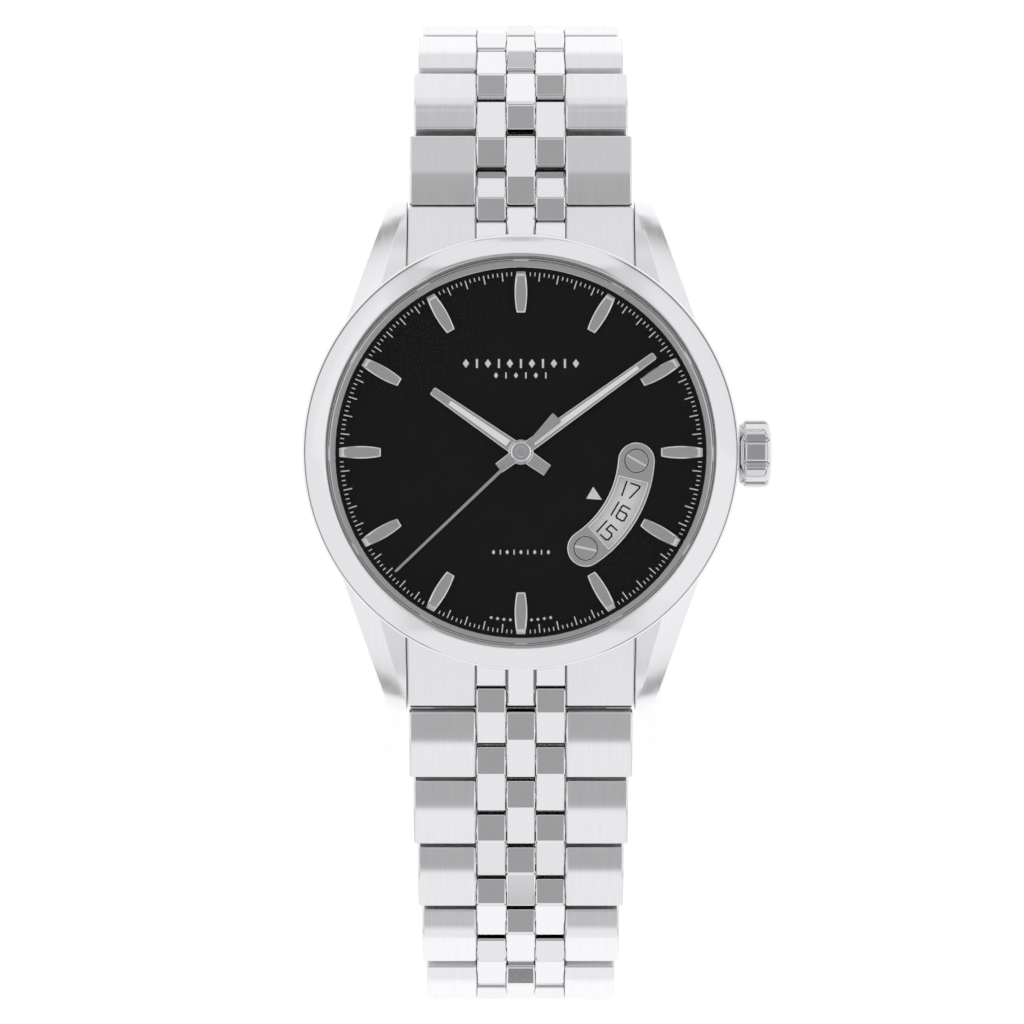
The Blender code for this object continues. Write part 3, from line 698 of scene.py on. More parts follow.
def make_minute_track():
    """Four ticks a minute, but none behind the hour markers, and the pointer at the date."""
    track = Shape()
    for tick in range(240):
        angle = 1.5 * tick
        if min(angle % 30, 30 - angle % 30) < 1.6:
            continue
        whole = tick % 4 == 0
        length, width = (0.84, 0.11) if whole else (0.36, 0.10)
        bar = rectangle(0.0, MINUTE_TRACK_R - length / 2, width, length)
        track.plate([turned(p, angle) for p in bar], *PRINT)
    track.make("minute_track", "case", *PRINTED)

    pointer = [turned(p, POINTER_ANGLE) for p in ((-0.67, 7.67), (0.67, 7.67), (0.0, 9.03))]
    Shape().plate(pointer, PRINT[0], DIAL_TOP + 0.02).make("date_pointer", "case", *PRINTED)


def make_dial_ornaments():
    """Two plain rows above the hands, one below, and dots either side of 6 o'clock."""
    marks = Shape()
    ornament_row(marks, 11, 1.06, 8.6, 0.86, 0.62)
    ornament_row(marks, 6, 0.96, 7.45, 0.58, 0.42)
    ornament_row(marks, 9, 0.66, -9.6, 0.46, 0.34)
    for side in (-1, 1):
        for k in range(4):
            centre = turned((0.0, -16.15), side * (3.6 + 2.2 * k))
            marks.plate(circle(centre, 0.17, 4), *PRINT)
    marks.make("dial_ornaments", "case", *PRINTED)


def ornament_row(shape, count, pitch, y, height, width):
    """A row of plain lozenges and bars, alternating, centred on the dial."""
    for k in range(count):
        x = (k - (count - 1) / 2) * pitch
        if k % 2:
            outline = rectangle(x, y, width * 0.32, height)
        else:
            outline = [(x - width / 2, y), (x, y - height / 2), (x + width / 2, y),
                       (x, y + height / 2)]
        shape.plate(outline, *PRINT)


def frame_loops(grow):
    """Matching outlines of the date frame (outer), grown, and of its opening, shrunk."""
    start, end = DATE_ARC_ENDS
    side = math.degrees(grow / DATE_ARC_R)
    low, high = DATE_OPENING_ENDS[0] + side, DATE_OPENING_ENDS[1] - side
    cap_r = DATE_ARC_HALF + grow
    tall, short = DATE_OPENING_R[1] - grow, DATE_OPENING_R[0] + grow
    arc_steps, cap_steps = 28, 14
    outer, opening = [], []
    for radius, arc, gate_r, gate, turn in (
            (DATE_ARC_R + cap_r, (start, end), (tall, short), (low, high), 0),
            (DATE_ARC_R - cap_r, (end, start), (short, tall), (high, low), 180)):
        for k in range(arc_steps + 1):
            t = k / arc_steps
            outer.append(polar(radius, arc[0] + (arc[1] - arc[0]) * t))
            opening.append(polar(gate_r[0], gate[0] + (gate[1] - gate[0]) * t))
        x, y = polar(DATE_ARC_R, arc[1])
        for k in range(1, cap_steps):
            t = k / cap_steps
            dx, dy = polar(cap_r, arc[1] + turn + 180 * t)
            outer.append((x + dx, y + dy))
            opening.append(polar(gate_r[0] + (gate_r[1] - gate_r[0]) * t, gate[1]))
    return outer, opening


def make_date_frame():
    """Raised arc round the date opening, with a slotted screw at each end."""
    top, bevel = 7.06, 0.085
    wide_outer, wide_opening = frame_loops(0.0)
    tight_outer, tight_opening = frame_loops(-bevel)
    loops = [(wide_opening, DIAL_TOP + 0.01), (wide_outer, DIAL_TOP + 0.01),
             (wide_outer, top - bevel * 0.6), (tight_outer, top), (tight_opening, top),
             (wide_opening, top - bevel * 0.6)]
    plate = Shape().loft([[(x, y, z) for x, y in loop] for loop, z in loops], ring=True)
    plate = plate.make("date_arc", "case", *SATIN, 20)
    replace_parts(plate, "date_frame")
    for number, (place, slot_angle) in enumerate(((DATE_ARC_ENDS[0], 120.0),
                                                  (DATE_ARC_ENDS[1], 102.0)), 1):
        centre = polar(DATE_ARC_R, place)
        # A dark disc a little wider than the head: painted shadow in the gap round the screw
        gap = Shape().plate(circle(centre, 1.17, 48), top - 0.1, top + 0.006)
        gap.make(f"date_screw_shadow_disc_{number}", "case", shadow_gap, "dial_black")
        head = Shape().lathe([(0, top - 0.05), (1.09, top - 0.05), (1.09, top + 0.03),
                              (1.04, top + 0.075), (0, top + 0.08)], 48, upright(centre))
        head = head.make(f"date_screw_{number}", "case", *SATIN, 24)
        groove = []
        for along in (-2, 2):
            corners = [(0.0, 0.01), (0.11, 0.085), (0.11, 0.3), (-0.11, 0.3), (-0.11, 0.085)]
            ends = [(*turned((across_slot, along), slot_angle), h) for across_slot, h in corners]
            groove.append([(x + centre[0], y + centre[1], top + h) for x, y, h in ends])
        cut(head, Shape().loft(groove), 24)


DIGITS = {
    "0": [[(0, 0), (0, 1), (0.62, 1), (0.62, 0), (0, 0)]],
    "1": [[(0.3, 0), (0.3, 1)]],
    "2": [[(0, 1), (0.62, 1), (0.62, 0.55), (0, 0.35), (0, 0), (0.62, 0)]],
    "3": [[(0, 1), (0.62, 1), (0.62, 0), (0, 0)], [(0.15, 0.52), (0.62, 0.52)]],
    "4": [[(0.5, 0), (0.5, 1), (0, 0.3), (0.66, 0.3)]],
    "5": [[(0.6, 1), (0.06, 1), (0.02, 0.56), (0.5, 0.58), (0.62, 0.45), (0.62, 0.12), (0.5, 0),
           (0, 0)]],
    "6": [[(0.56, 1), (0.06, 0.98), (0, 0.85), (0, 0.1), (0.1, 0), (0.52, 0), (0.62, 0.1),
           (0.62, 0.48), (0.52, 0.58), (0, 0.56)]],
    "7": [[(0, 1), (0.64, 1), (0.64, 0.85), (0.24, 0)]],
    "8": [[(0, 0), (0, 1), (0.6, 1), (0.6, 0), (0, 0)], [(0, 0.54), (0.6, 0.54)]],
    "9": [[(0.62, 0), (0.62, 1), (0, 1), (0, 0.46), (0.62, 0.46)]],
}


def stroke(shape, start, end, half, place, low, high):
    """One straight pen stroke as a thin raised bar."""
    length = math.dist(start, end)
    ux, uy = (end[0] - start[0]) / length, (end[1] - start[1]) / length
    corners = []
    for along, across in ((-half, -half), (length + half, -half), (length + half, half),
                          (-half, half)):
        corners.append(place((start[0] + ux * along - uy * across,
                              start[1] + uy * along + ux * across)))
    shape.plate(corners, low, high)


def make_date_numerals():
    """The numbers 1 to 31 round the date ring, drawn with straight pen strokes."""
    height, half, gap = 1.38, 0.08, 0.40
    numerals = Shape()
    for day in range(1, 32):
        angle = DATE_SHOWN_ANGLE - (day - DATE_SHOWN) * DATE_STEP
        text = str(day)
        widths = [0.14 if c == "1" else 0.60 * height for c in text]
        total = sum(widths) + gap * (len(text) - 1)
        cursor = -total / 2
        for char, width in zip(text, widths):
            shift = cursor - (0.3 * height - 0.07 if char == "1" else 0.0)

            def place(p, shift=shift, angle=angle):
                along, up = p[0] * height + shift, (p[1] - 0.5) * height
                return turned((-up, DATE_ARC_R + along), angle)

            for line in DIGITS[char]:
                for a, b in zip(line, line[1:]):
                    stroke(numerals, a, b, half / height, place, *NUMERAL_PRINT)
            cursor += width + gap
    numerals.make("date_numerals", "date_ring", date_ink, "date_white")


def roof_hand(name, angle, levels, stations):
    """A hand's body, whose two flanks meet in a soft ridge; stations are (y, half width)."""
    low, edge, ridge = levels
    sections = []
    for y, half in stations:
        flat, rim = half * 0.12, half - 0.065
        section = ((-half, low), (half, low), (half, edge - 0.04), (rim, edge), (flat, ridge),
                   (-flat, ridge), (-rim, edge), (-half, edge - 0.04))
        sections.append([(*turned((x, y), angle), z) for x, z in section])
    body = Shape().loft(sections).make(name + "_body", name, *SATIN, 12)
    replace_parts(body, name)


def make_hand(name, angle, levels, length, tail, tip, root, tail_half, hub_r, tube, lume_run):
    """A hand with its hub, pipe and luminous inlay.

    levels are the heights of underside, edge and ridge; tip, root and tail_half half widths;
    tube the pipe's outer and inner radius and its lower end; lume_run the inlay's start and end
    and its half widths there.
    """
    low, _, ridge = levels
    stations = [(-tail, tail_half * 0.95), (-tail + 0.08, tail_half), (-1.0, root),
                (1.0, root), (length - 0.12, tip), (length, tip * 0.8)]
    roof_hand(name, angle, levels, stations)
    start, end, half_start, half_end = lume_run
    outline = [(-half_start, start), (half_start, start), (half_end, end), (-half_end, end)]
    strip = Shape().plate([turned(p, angle) for p in outline], low + 0.02, ridge + 0.015, 0.012)
    strip.make(name + "_lume", name, lume, "date_white")
    hub = Shape().lathe([(tube[1], low - 0.02), (hub_r, low - 0.02), (hub_r, ridge + 0.02),
                         (hub_r - 0.08, ridge + 0.06), (tube[1], ridge + 0.06)], 64)
    hub.make(name + "_hub", name, *SATIN, 24)
    pipe = Shape().tube(tube[1], tube[0], tube[2], low, 40)
    pipe.make(name + "_pipe", name, steel_mirror, "grey_steel")


def make_hands():
    make_hand("hour_hand", HOUR_ANGLE, (7.28, 7.38, 7.46), 10.4, 3.1, 0.42, 0.66, 0.60, 1.2,
              (0.84, 0.67, 5.3), (1.5, 8.35, 0.34, 0.22))
    make_hand("minute_hand", MINUTE_ANGLE, (7.60, 7.70, 7.77), 15.9, 2.65, 0.37, 0.58, 0.54,
              1.0, (0.59, 0.37, 5.0), (1.5, 13.9, 0.30, 0.18))
    half_tip, half_root = 0.13, 0.16
    outline = [(-0.58, -4.75), (-0.46, -4.82), (0.46, -4.82), (0.58, -4.75), (0.2, -0.8),
               (half_root, 0.8), (half_tip, 16.6), (0.0, 16.75), (-half_tip, 16.6),
               (-half_root, 0.8), (-0.2, -0.8)]
    needle = Shape().plate([turned(p, SECOND_ANGLE) for p in outline], 7.95, 8.08, 0.03)
    needle = needle.make("seconds_needle", "seconds_hand", steel_facet, "grey_steel", 20)
    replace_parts(needle, "seconds_hand")
    hub = Shape().lathe([(0, 4.6), (0.29, 4.6), (0.29, 7.93), (0.92, 7.93), (0.92, 8.1),
                         (0.84, 8.15), (0.5, 8.15), (0.46, 8.2), (0, 8.22)], 64)
    hub.make("seconds_hub", "seconds_hand", *SATIN, 24)


# --------------------------------------------------------------- movement

BRIDGE_SCREW_Z = 2.68
BRIDGE_JEWEL_Z = 2.64
COCK_LOWER = 0.15
WINDING_WHEEL_Z = (2.72, 2.86)


def screw(name, centre, top, body, radius=0.75):
    """Slotted head of a blued screw that faces the case back."""
    head = Shape().lathe([(0, top), (radius - 0.08, top), (radius, top + 0.07),
                          (radius, top + 0.2), (0, top + 0.2)], 32, upright(centre))
    head = head.make(name, body, blue_steel, "polished_steel", 24)
    cut(head, Shape().plate(rectangle(*centre, 0.18, 4.0), top - 0.1, top + 0.07), 24)


def jewel(name, centre, top):
    """Ruby bearing in a gilt setting."""
    stone = Shape().lathe([(0.12, top + 0.05), (0.5, top + 0.05), (0.52, top + 0.2),
                           (0.12, top + 0.2)], 32, upright(centre))
    stone.make(name + "_stone", "case", ruby, "gilt_brass")
    setting = Shape().tube(0.53, 0.72, top + 0.01, top + 0.2, 32, upright(centre))
    setting.make(name + "_setting", "case", gilt, "gilt_brass")


def gear_radius(teeth, root, tip):
    """A lathe radius that steps between root and tip once a tooth."""
    def radius_of(radius, angle, height):
        if radius < root:
            return radius
        phase = (angle * teeth / (2 * math.pi)) % 1.0
        return tip if phase < 0.5 else root
    return radius_of


def make_wheel(name, centre, outer, teeth):
    """A toothed winding wheel under the bridge."""
    wheel = Shape().tube(0.3, outer, *WINDING_WHEEL_Z, teeth * 4, upright(centre),
                         gear_radius(teeth, outer - 0.18, outer))
    wheel.make(name, "case", steel_mirror, "gilt_brass", 30)


def make_movement():
    """Finish the movement's plates and add its screws, jewels and winding wheels."""
    for name, mat in (("main_plate", nickel_grain), ("train_bridge", nickel_stripes),
                      ("balance_cock", nickel_stripes), ("winding_stem", steel_mirror)):
        node = NODES[name]
        shade(node.data, 30)
        paint(node, mat)
        soften(node, 0.05)
    for number, centre in enumerate(((9.5, 7.5), (-3.5, 11.6), (11.8, -4.6), (1.6, -11.6)), 1):
        screw(f"bridge_screw_{number}", centre, BRIDGE_SCREW_Z, "case")
    screw("cock_screw", (-10.0, -10.0), BRIDGE_SCREW_Z - COCK_LOWER, "case", 0.7)
    for number, centre in enumerate(((3.6, 3.2), (0.4, -6.2), (5.4, -5.0), (-3.6, 5.0)), 1):
        jewel(f"jewel_{number}", centre, BRIDGE_JEWEL_Z)
    jewel("balance_jewel", BALANCE_CENTRE, BRIDGE_JEWEL_Z - COCK_LOWER)
    make_wheel("ratchet_wheel", (6.2, 9.0), 3.2, 44)
    make_wheel("crown_wheel", (10.6, 4.2), 1.9, 30)


def make_balance():
    """Balance rim with three arms, twelve weights and its staff."""
    cx, cy = BALANCE_CENTRE
    here = upright(BALANCE_CENTRE)
    rim = Shape().tube(3.45, 4.1, 3.2, 3.6, 96, here)
    for k in range(3):
        arm = [turned(p, 120 * k) for p in ((-0.28, 0.2), (0.28, 0.2), (0.4, 3.6), (-0.4, 3.6))]
        rim.plate([(x + cx, y + cy) for x, y in arm], 3.24, 3.48)
    for k in range(12):
        x, y = polar(3.78, 90 - 30 * k)
        rim.plate(circle((cx + x, cy + y), 0.2, 12), 3.12, 3.22)
    rim.lathe([(0, 2.8), (0.2, 2.8), (0.2, 3.1), (0.55, 3.15), (0.55, 3.6), (0.2, 3.6),
               (0.2, 3.86), (0, 3.86)], 24, here)
    rim = rim.make("balance", "balance_wheel", gilt, "gilt_brass", 30)
    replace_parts(rim, "balance_wheel")


def make_hairspring():
    cx, cy = BALANCE_CENTRE
    spiral = Shape()
    turns, steps, half = 6, 360, 0.02

    def coil(k, side):
        """Point k on the inner (-1) or outer (1) edge."""
        radius = 0.7 + 1.9 * k / steps
        return polar(radius * (1 + half / radius) ** side, 90 - 360 * turns * k / steps)

    for k in range(steps):
        corners = (coil(k, -1), coil(k + 1, -1), coil(k + 1, 1), coil(k, 1))
        spiral.plate([(cx + x, cy + y) for x, y in corners], 3.66, 3.80)
    spiral.make("hairspring", "balance_wheel", blue_steel, "polished_steel")


def make_rotor():
    """Half-round oscillating weight on its ball bearing."""
    steps = 72
    sections = []
    for k in range(steps + 1):
        angle = 91 + 178 * k / steps
        section = ((2.0, 1.62), (10.7, 1.62), (10.8, 1.52), (12.5, 1.52), (12.6, 1.62),
                   (12.6, 2.55), (10.7, 2.55), (10.7, 1.95), (2.0, 1.95))
        sections.append([(*polar(r, angle), z) for r, z in section])
    weight = Shape().loft(sections).make("rotor_weight", "rotor", nickel_stripes, "nickel", 25)
    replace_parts(weight, "rotor")
    Shape().lathe([(0.68, 1.46), (2.0, 1.46), (2.4, 1.54), (2.4, 2.55), (0.68, 2.55)], 64).make(
        "rotor_hub", "rotor", nickel_grain, "nickel", 25)
    Shape().lathe([(0, 1.40), (1.2, 1.40), (1.3, 1.48), (0, 1.48)], 48).make(
        "rotor_cap", "rotor", *POLISHED, 25)
    for k in range(3):
        screw(f"rotor_screw_{k + 1}", polar(1.75, 120 * k + 60), 1.38, "rotor", 0.28)


# ------------------------------------------------------------------ crown

def make_crown():
    """Crown with eight soft lobes."""
    lobes = 8

    def fluted(radius, angle, height):
        if radius < 2.9 or not 21.5 < height < 23.9:
            return radius
        phase = abs(((angle * lobes / (2 * math.pi)) % 1.0) - 0.5) * 2
        groove = 0.5 * (1 + math.cos(math.pi * min(1.0, phase / 0.42)))
        depth = 0.40 if radius > 3.1 else 0.12
        return radius - depth * groove

    crown = Shape().lathe([
        (0, 23.4), (0.58, 23.4), (0.58, 22.6), (1.68, 22.6), (1.68, 21.06), (2.7, 21.06),
        (2.85, 21.12), (2.95, 21.3), (3.0, 21.46), (3.18, 21.58), (3.25, 21.75), (3.25, 23.45),
        (3.2, 23.62), (3.05, 23.8), (2.85, 23.92), (2.6, 24.02), (2.0, 24.12), (1.0, 24.19),
        (0, 24.2)], 240, along_x, fluted)
    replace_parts(crown.make("crown_knob", "crown", steel_crown, "polished_steel", 26), "crown")


# --------------------------------------------------------------- bracelet

LINK_TOP = filleted(LINK_CORNERS)
SOFT_LINK_TOP = filleted([(u, v, SOFT_RIDGE_R if v == LINK_TOP_Z else r)
                          for u, v, r in LINK_CORNERS], 8)


def link_profile(shrink, half, top):
    """Side outline of a link from its near end, rounded about its pins inside."""
    outline = [(u * (half + LINK_FAR_R) / LINK_REACH, v) for u, v in top]
    for centre, start, radius in ((half, 0, LINK_FAR_R), (-half, 90, LINK_NEAR_R)):
        for k in range(7):
            a = math.radians(start + 15 * k)
            outline.append((centre + radius * math.cos(a), -radius * math.sin(a)))
    wide, tall = 1 - shrink / LINK_REACH, 1 - shrink / LINK_TOP_Z
    return [(u * wide, v * tall) for u, v in outline]


def bar_frame(a, b):
    """Map (u, v) of the link between two pins to (y, z), with v pointing out of the loop."""
    middle = ((a[0] + b[0]) / 2, (a[1] + b[1]) / 2)
    length = math.dist(a, b)
    along = ((b[0] - a[0]) / length, (b[1] - a[1]) / length)
    outward = (along[1], -along[0])
    inward = (LOOP_INSIDE[0] - middle[0], LOOP_INSIDE[1] - middle[1])
    if inward[0] * outward[0] + inward[1] * outward[1] > 0:
        outward = (-outward[0], -outward[1])
    return lambda u, v: (middle[0] + along[0] * u + outward[0] * v,
                         middle[1] + along[1] * u + outward[1] * v)


def row(shape, place, low, high, bevel, half=HALF_PITCH / 2, top=LINK_TOP):
    """One link row between two x positions, with rounded long edges."""
    sections = []
    for x, shrink in across(low, high, bevel):
        sections.append([(x, *place(u, v)) for u, v in link_profile(shrink, half, top)])
    return shape.loft(sections)


def across(low, high, bevel):
    """Sections over a row's width as (x, shrink): both edges rounded, the rest flat."""
    edge = ((0.0, bevel), (bevel * 0.3, bevel * 0.35), (bevel, 0.0), (bevel + 0.05, 0.0))
    return ([(low + x, shrink) for x, shrink in edge]
            + [(high - x, shrink) for x, shrink in reversed(edge)])


def both_sides(low, high):
    """The two x positions of a row, and those of its mirror image."""
    return (low, high), (-high, -low)


def gap_bar(node, a, b, half_width):
    """The dark bar under the gap that the neighbouring rows leave at a link's middle: painted
    shade for the gap's depth.
    """
    place = bar_frame(a, b)
    bar = Shape().bar([place(u, v) for u, v in GAP_BAR], -half_width, half_width)
    bar.make(node + "_gap_bar", node, gap_shade_steel, "grey_steel")


def outer_edge(node):
    """Half the width of a CAD node."""
    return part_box(node)[1].x / MM


def pin_rod(shape, centre, radius=PIN_R, half=PIN_HALF):
    """A rod along X through the (y, z) centre."""
    shape.tube(0, radius, -half, half, 24, lambda x, y, h: (h, centre[0] + x, centre[1] + y))


def make_wide_link(node, a, b, pins):
    """Two brushed outer rows and a polished middle row on their pins."""
    place = bar_frame(a, b)
    edge = outer_edge(node)
    outer = Shape()
    for span in both_sides(OUTER_ROW_START, edge):
        row(outer, place, *span, OUTER_BEVEL, top=SOFT_LINK_TOP)
    outer = outer.make(node + "_outer", node, *BRUSHED, 24)
    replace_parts(outer, node)
    row(Shape(), place, -MIDDLE_HALF, MIDDLE_HALF, INNER_BEVEL).make(
        node + "_middle", node, *POLISHED, 24)
    rods = Shape()
    for pin in pins:
        pin_rod(rods, pin)
    rods.make(node + "_pins", node, *POLISHED)
    heads = Shape()
    for side in (-1, 1):
        for pin in (a, b):
            heads.lathe(PIN_HEAD, 20, lambda x, y, h, s=side, c=pin:
                        (s * (edge + PIN_HEAD_STANDS_OUT + h), c[0] + x, c[1] + y))
    heads.make(node + "_pin_heads", node, *POLISHED)
    gap_bar(node, a, b, OUTER_ROW_START)


def make_narrow_link(node, a, b, neighbour):
    """Two polished inner rows and the bridge that joins them under the middle row."""
    place = bar_frame(a, b)
    rows = Shape()
    for span in both_sides(*INNER_ROW):
        row(rows, place, *span, INNER_BEVEL)
    bridge = [place(u, v) for u, v in ((-0.32, -1.25), (0.32, -1.25), (0.5, -1.58), (-0.5, -1.58))]
    rows.bar(bridge, -INNER_ROW[0] - 0.1, INNER_ROW[0] + 0.1)
    rows = rows.make(node + "_rows", node, *POLISHED, 24)
    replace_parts(rows, node)
    gap_bar(node, a, b, outer_edge(neighbour) - 0.35)


def pin_place(name):
    """The (y, z) of a pin's joint."""
    _, y, z = JOINTS[name]["pos_m"]
    return (y / MM, z / MM)


def bracelet_pins(side):
    """Pin centres from the lugs to the clasp."""
    count = 2 * LINKS_PER_SIDE + 1
    if side == "12":
        return [pin_place(f"pin_12_{k}") for k in range(1, count + 1)]
    return [FIRST_PIN_6] + [pin_place(f"pin_6_{k}") for k in range(2, count + 1)]


def make_links(side, pins):
    for number in range(1, LINKS_PER_SIDE + 1):
        a, b, c = pins[2 * number - 2:2 * number + 1]
        open_end = side == "6" and number == 1
        make_wide_link(f"link_{side}_wide_{number}", a, b, (b,) if open_end else (a, b))
        make_narrow_link(f"link_{side}_narrow_{number}", b, c, f"link_{side}_wide_{number}")


# A (y, z) on the sloping top of an end link, and its slope
END_LINK_TOP = (23.7, 4.28)
END_LINK_SLOPE = 0.59
END_LINK_START = 16.5
END_LINK_GAP = 0.10
END_INNER_ROW_REACH = 22.45
TONGUE_ROOT = (23.9, 3.35)


def end_link_row(shape, direction, low, high, reach, bevel):
    """One row of an end link from the case out to reach, with rounded edges."""
    top = [(y, END_LINK_TOP[1] + (END_LINK_TOP[0] - y) * END_LINK_SLOPE)
           for y in (END_LINK_START, reach - 0.26, reach - 0.2)]
    edge_z = top[-1][1]
    top += [(reach - 0.06, edge_z - 0.14), (reach, edge_z - 0.34)]
    outline = top + [(reach, 1.3), (reach - 0.3, 0.98), (END_LINK_START, 1.35)]
    sections = []
    for x, shrink in across(low, high, bevel):
        section = []
        for y, z in outline:
            rim = shrink if y > reach - 0.3 else 0.0
            section.append((x, direction * (y - rim), z - (shrink if z > 1.4 else 0.0)))
        sections.append(section)
    shape.loft(sections)


def make_end_link(side, direction, first_pin):
    """End link with its outer, middle and inner rows and the first inner links as tongues."""
    node = f"end_link_{side}"
    edge = LUG_INNER - 0.05
    outer, polished_rows = Shape(), Shape()
    reach = abs(first_pin[0]) - LINK_FAR_R - END_LINK_GAP
    for span in both_sides(OUTER_ROW_START, edge):
        end_link_row(outer, direction, *span, reach, 0.16)
    gap_end = abs(first_pin[0]) - LINK_NEAR_R - 0.05
    half_width = outer_edge(f"link_{side}_wide_1") - 0.12
    gap_start = TONGUE_ROOT[0]
    outline = ((gap_start, 1.5), (gap_end, 1.5), (gap_end, 2.6), (gap_start, 2.6))
    # Dark bar under the gap before the first link: painted shade for its depth
    bar = Shape().bar([(direction * y, z) for y, z in outline], -half_width, half_width)
    bar.make(node + "_gap_bar", "case", gap_shade_steel, "grey_steel")
    end_link_row(polished_rows, direction, -MIDDLE_HALF, MIDDLE_HALF, reach, 0.2)
    for span in both_sides(*INNER_ROW):
        end_link_row(polished_rows, direction, *span, END_INNER_ROW_REACH, 0.08)
    outer = outer.make(node + "_outer", "case", *BRUSHED, 24)
    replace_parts(outer, node)
    rows = polished_rows.make(node + "_rows", "case", *POLISHED, 24)
    for piece in (outer, rows):
        cut(piece, cylinder(CASE_R + 0.06), 24)
    tongue = Shape()
    root = (direction * TONGUE_ROOT[0], TONGUE_ROOT[1])
    place = bar_frame(root, first_pin)
    half = math.dist(root, first_pin) / 2
    for span in both_sides(*INNER_ROW):
        row(tongue, place, *span, INNER_BEVEL, half)
    tongue.make(node + "_tongues", "case", *POLISHED, 24)


# ------------------------------------------------------------------ clasp

CLASP_ARC_R = 85.0
COVER_HALF_WIDTH = 9.0
COVER_PLATE = (-0.9, 0.4)
LEAF_PIVOT = (4.2, -1.85)
LINK_GAP = 0.14
SEAM_HALF = 0.2
SHORTEST_ROW = 1.0


class ClaspArc:
    """Coordinates along the clasp: s from the seam towards 12 o'clock, n outward."""

    def __init__(self, end_12, end_6):
        half = math.dist(end_12, end_6) / 2
        middle = ((end_12[0] + end_6[0]) / 2, (end_12[1] + end_6[1]) / 2)
        along = ((end_12[0] - middle[0]) / half, (end_12[1] - middle[1]) / half)
        up = (-along[1], along[0])
        rise = math.sqrt(CLASP_ARC_R ** 2 - half ** 2)
        self.centre = (middle[0] + up[0] * rise, middle[1] + up[1] * rise)
        self.down = math.atan2(-up[1], -up[0])
        self.half_length = CLASP_ARC_R * math.asin(half / CLASP_ARC_R)

    def point(self, s, n):
        angle = self.down + s / CLASP_ARC_R
        radius = CLASP_ARC_R + n
        return (self.centre[0] + radius * math.cos(angle),
                self.centre[1] + radius * math.sin(angle))


def cover_row(shape, arc, near, far, low, high, bevel):
    """A fixed link row on a clasp cover, between two places along the clasp."""
    half = (far - near) / 2
    middle = (near + far) / 2
    outline = [(u / LINK_REACH, v) for u, v in LINK_TOP] + [(1.0, -0.6), (-1.0, -0.6)]
    sections = []
    for x, shrink in across(low, high, bevel):
        section = []
        for u, v in outline:
            long_way = 1 - shrink / abs(half)
            p = arc.point(middle + u * half * long_way, v * (1 - shrink / LINK_TOP_Z))
            section.append((x, *p))
        sections.append(section)
    shape.loft(sections)


def make_cover_rows(node, arc, sign, end_pin):
    """The first link, which hangs on the bracelet's last pin, and the fixed rows beyond it."""
    length = arc.half_length
    pitch = 2 * HALF_PITCH
    half = HALF_PITCH - LINK_GAP
    outer, polished_rows = Shape(), Shape()
    sides = both_sides(OUTER_ROW_START, COVER_HALF_WIDTH)
    middle = (-MIDDLE_HALF, MIDDLE_HALF)
    first = bar_frame(end_pin, arc.point(sign * (length - HALF_PITCH), 0.0))
    for span in sides:
        row(outer, first, *span, OUTER_BEVEL, top=SOFT_LINK_TOP)
    row(polished_rows, first, *middle, INNER_BEVEL)
    first_wide = length - HALF_PITCH / 2 - pitch
    first_narrow = first_wide + HALF_PITCH
    for shape, spans, bevel, centre, last in (
            (outer, sides, OUTER_BEVEL, first_wide, 0.0),
            (polished_rows, [middle], INNER_BEVEL, first_wide, 0.0),
            (polished_rows, both_sides(*INNER_ROW), INNER_BEVEL, first_narrow, -HALF_PITCH)):
        while centre > last:
            near, far = max(centre - half, SEAM_HALF), centre + half
            if far - near > SHORTEST_ROW:
                for span in spans:
                    cover_row(shape, arc, sign * far, sign * near, *span, bevel)
            centre -= pitch
    outer.make(node + "_outer", node, *BRUSHED, 24)
    polished_rows.make(node + "_rows", node, *POLISHED, 24)


def make_cover_plate(node, arc, sign):
    """The curved plate under a cover's rows."""
    steps = 24
    start, end = 0.15, arc.half_length - 2.05
    under, over = COVER_PLATE
    tight, wide = COVER_HALF_WIDTH - 0.12, COVER_HALF_WIDTH - 0.04
    sections = []
    for k in range(steps + 1):
        s = sign * (start + (end - start) * k / steps)
        sections.append([(x, *arc.point(s, n)) for x, n in (
            (-tight, under), (tight, under), (wide, under + 0.1), (wide, over), (-wide, over),
            (-wide, under + 0.1))])
    base = Shape().loft(sections).make(node + "_base", node, *BRUSHED, 24)
    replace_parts(base, node)


def make_cover_ears(node, arc, sign):
    """Two ears under the plate and the rod through them on which the leaf turns."""
    ears = Shape()
    s, n = sign * LEAF_PIVOT[0], LEAF_PIVOT[1]
    outline = []
    for k in range(13):
        a = math.pi * k / 12
        outline.append(arc.point(s + 0.7 * math.cos(a), n - 0.55 * math.sin(a)))
    outline += [arc.point(s - 0.7, -0.6), arc.point(s + 0.7, -0.6)]
    for span in both_sides(4.1, 5.6):
        ears.bar(outline, *span)
    pin_rod(ears, arc.point(s, n), 0.28, 5.0)
    soften(ears.make(node + "_ears", node, *POLISHED, 24), 0.06)


def make_cover(arc, side, end_pin):
    node = f"clasp_cover_{side}"
    sign = 1 if side == "12" else -1
    make_cover_rows(node, arc, sign, end_pin)
    make_cover_plate(node, arc, sign)
    make_cover_ears(node, arc, sign)
    rod = Shape()
    pin_rod(rod, end_pin)
    rod.make(node + "_pin", node, *POLISHED)


def make_clasp(pins_12, pins_6):
    """Both covers, and the finish of the leaves, base plate and buttons."""
    arc = ClaspArc(pins_12[-1], pins_6[-1])
    make_cover(arc, "12", pins_12[-1])
    make_cover(arc, "6", pins_6[-1])
    for name in ("clasp_blade_12", "clasp_blade_6", "clasp_plate", "push_button_left",
                 "push_button_right"):
        node = NODES[name]
        paint(node, steel_lengthwise if name == "clasp_plate" else steel_mirror)
        shade(node.data, 30)
        soften(node, 0.12, 3)


# ------------------------------------------------------------------ stage

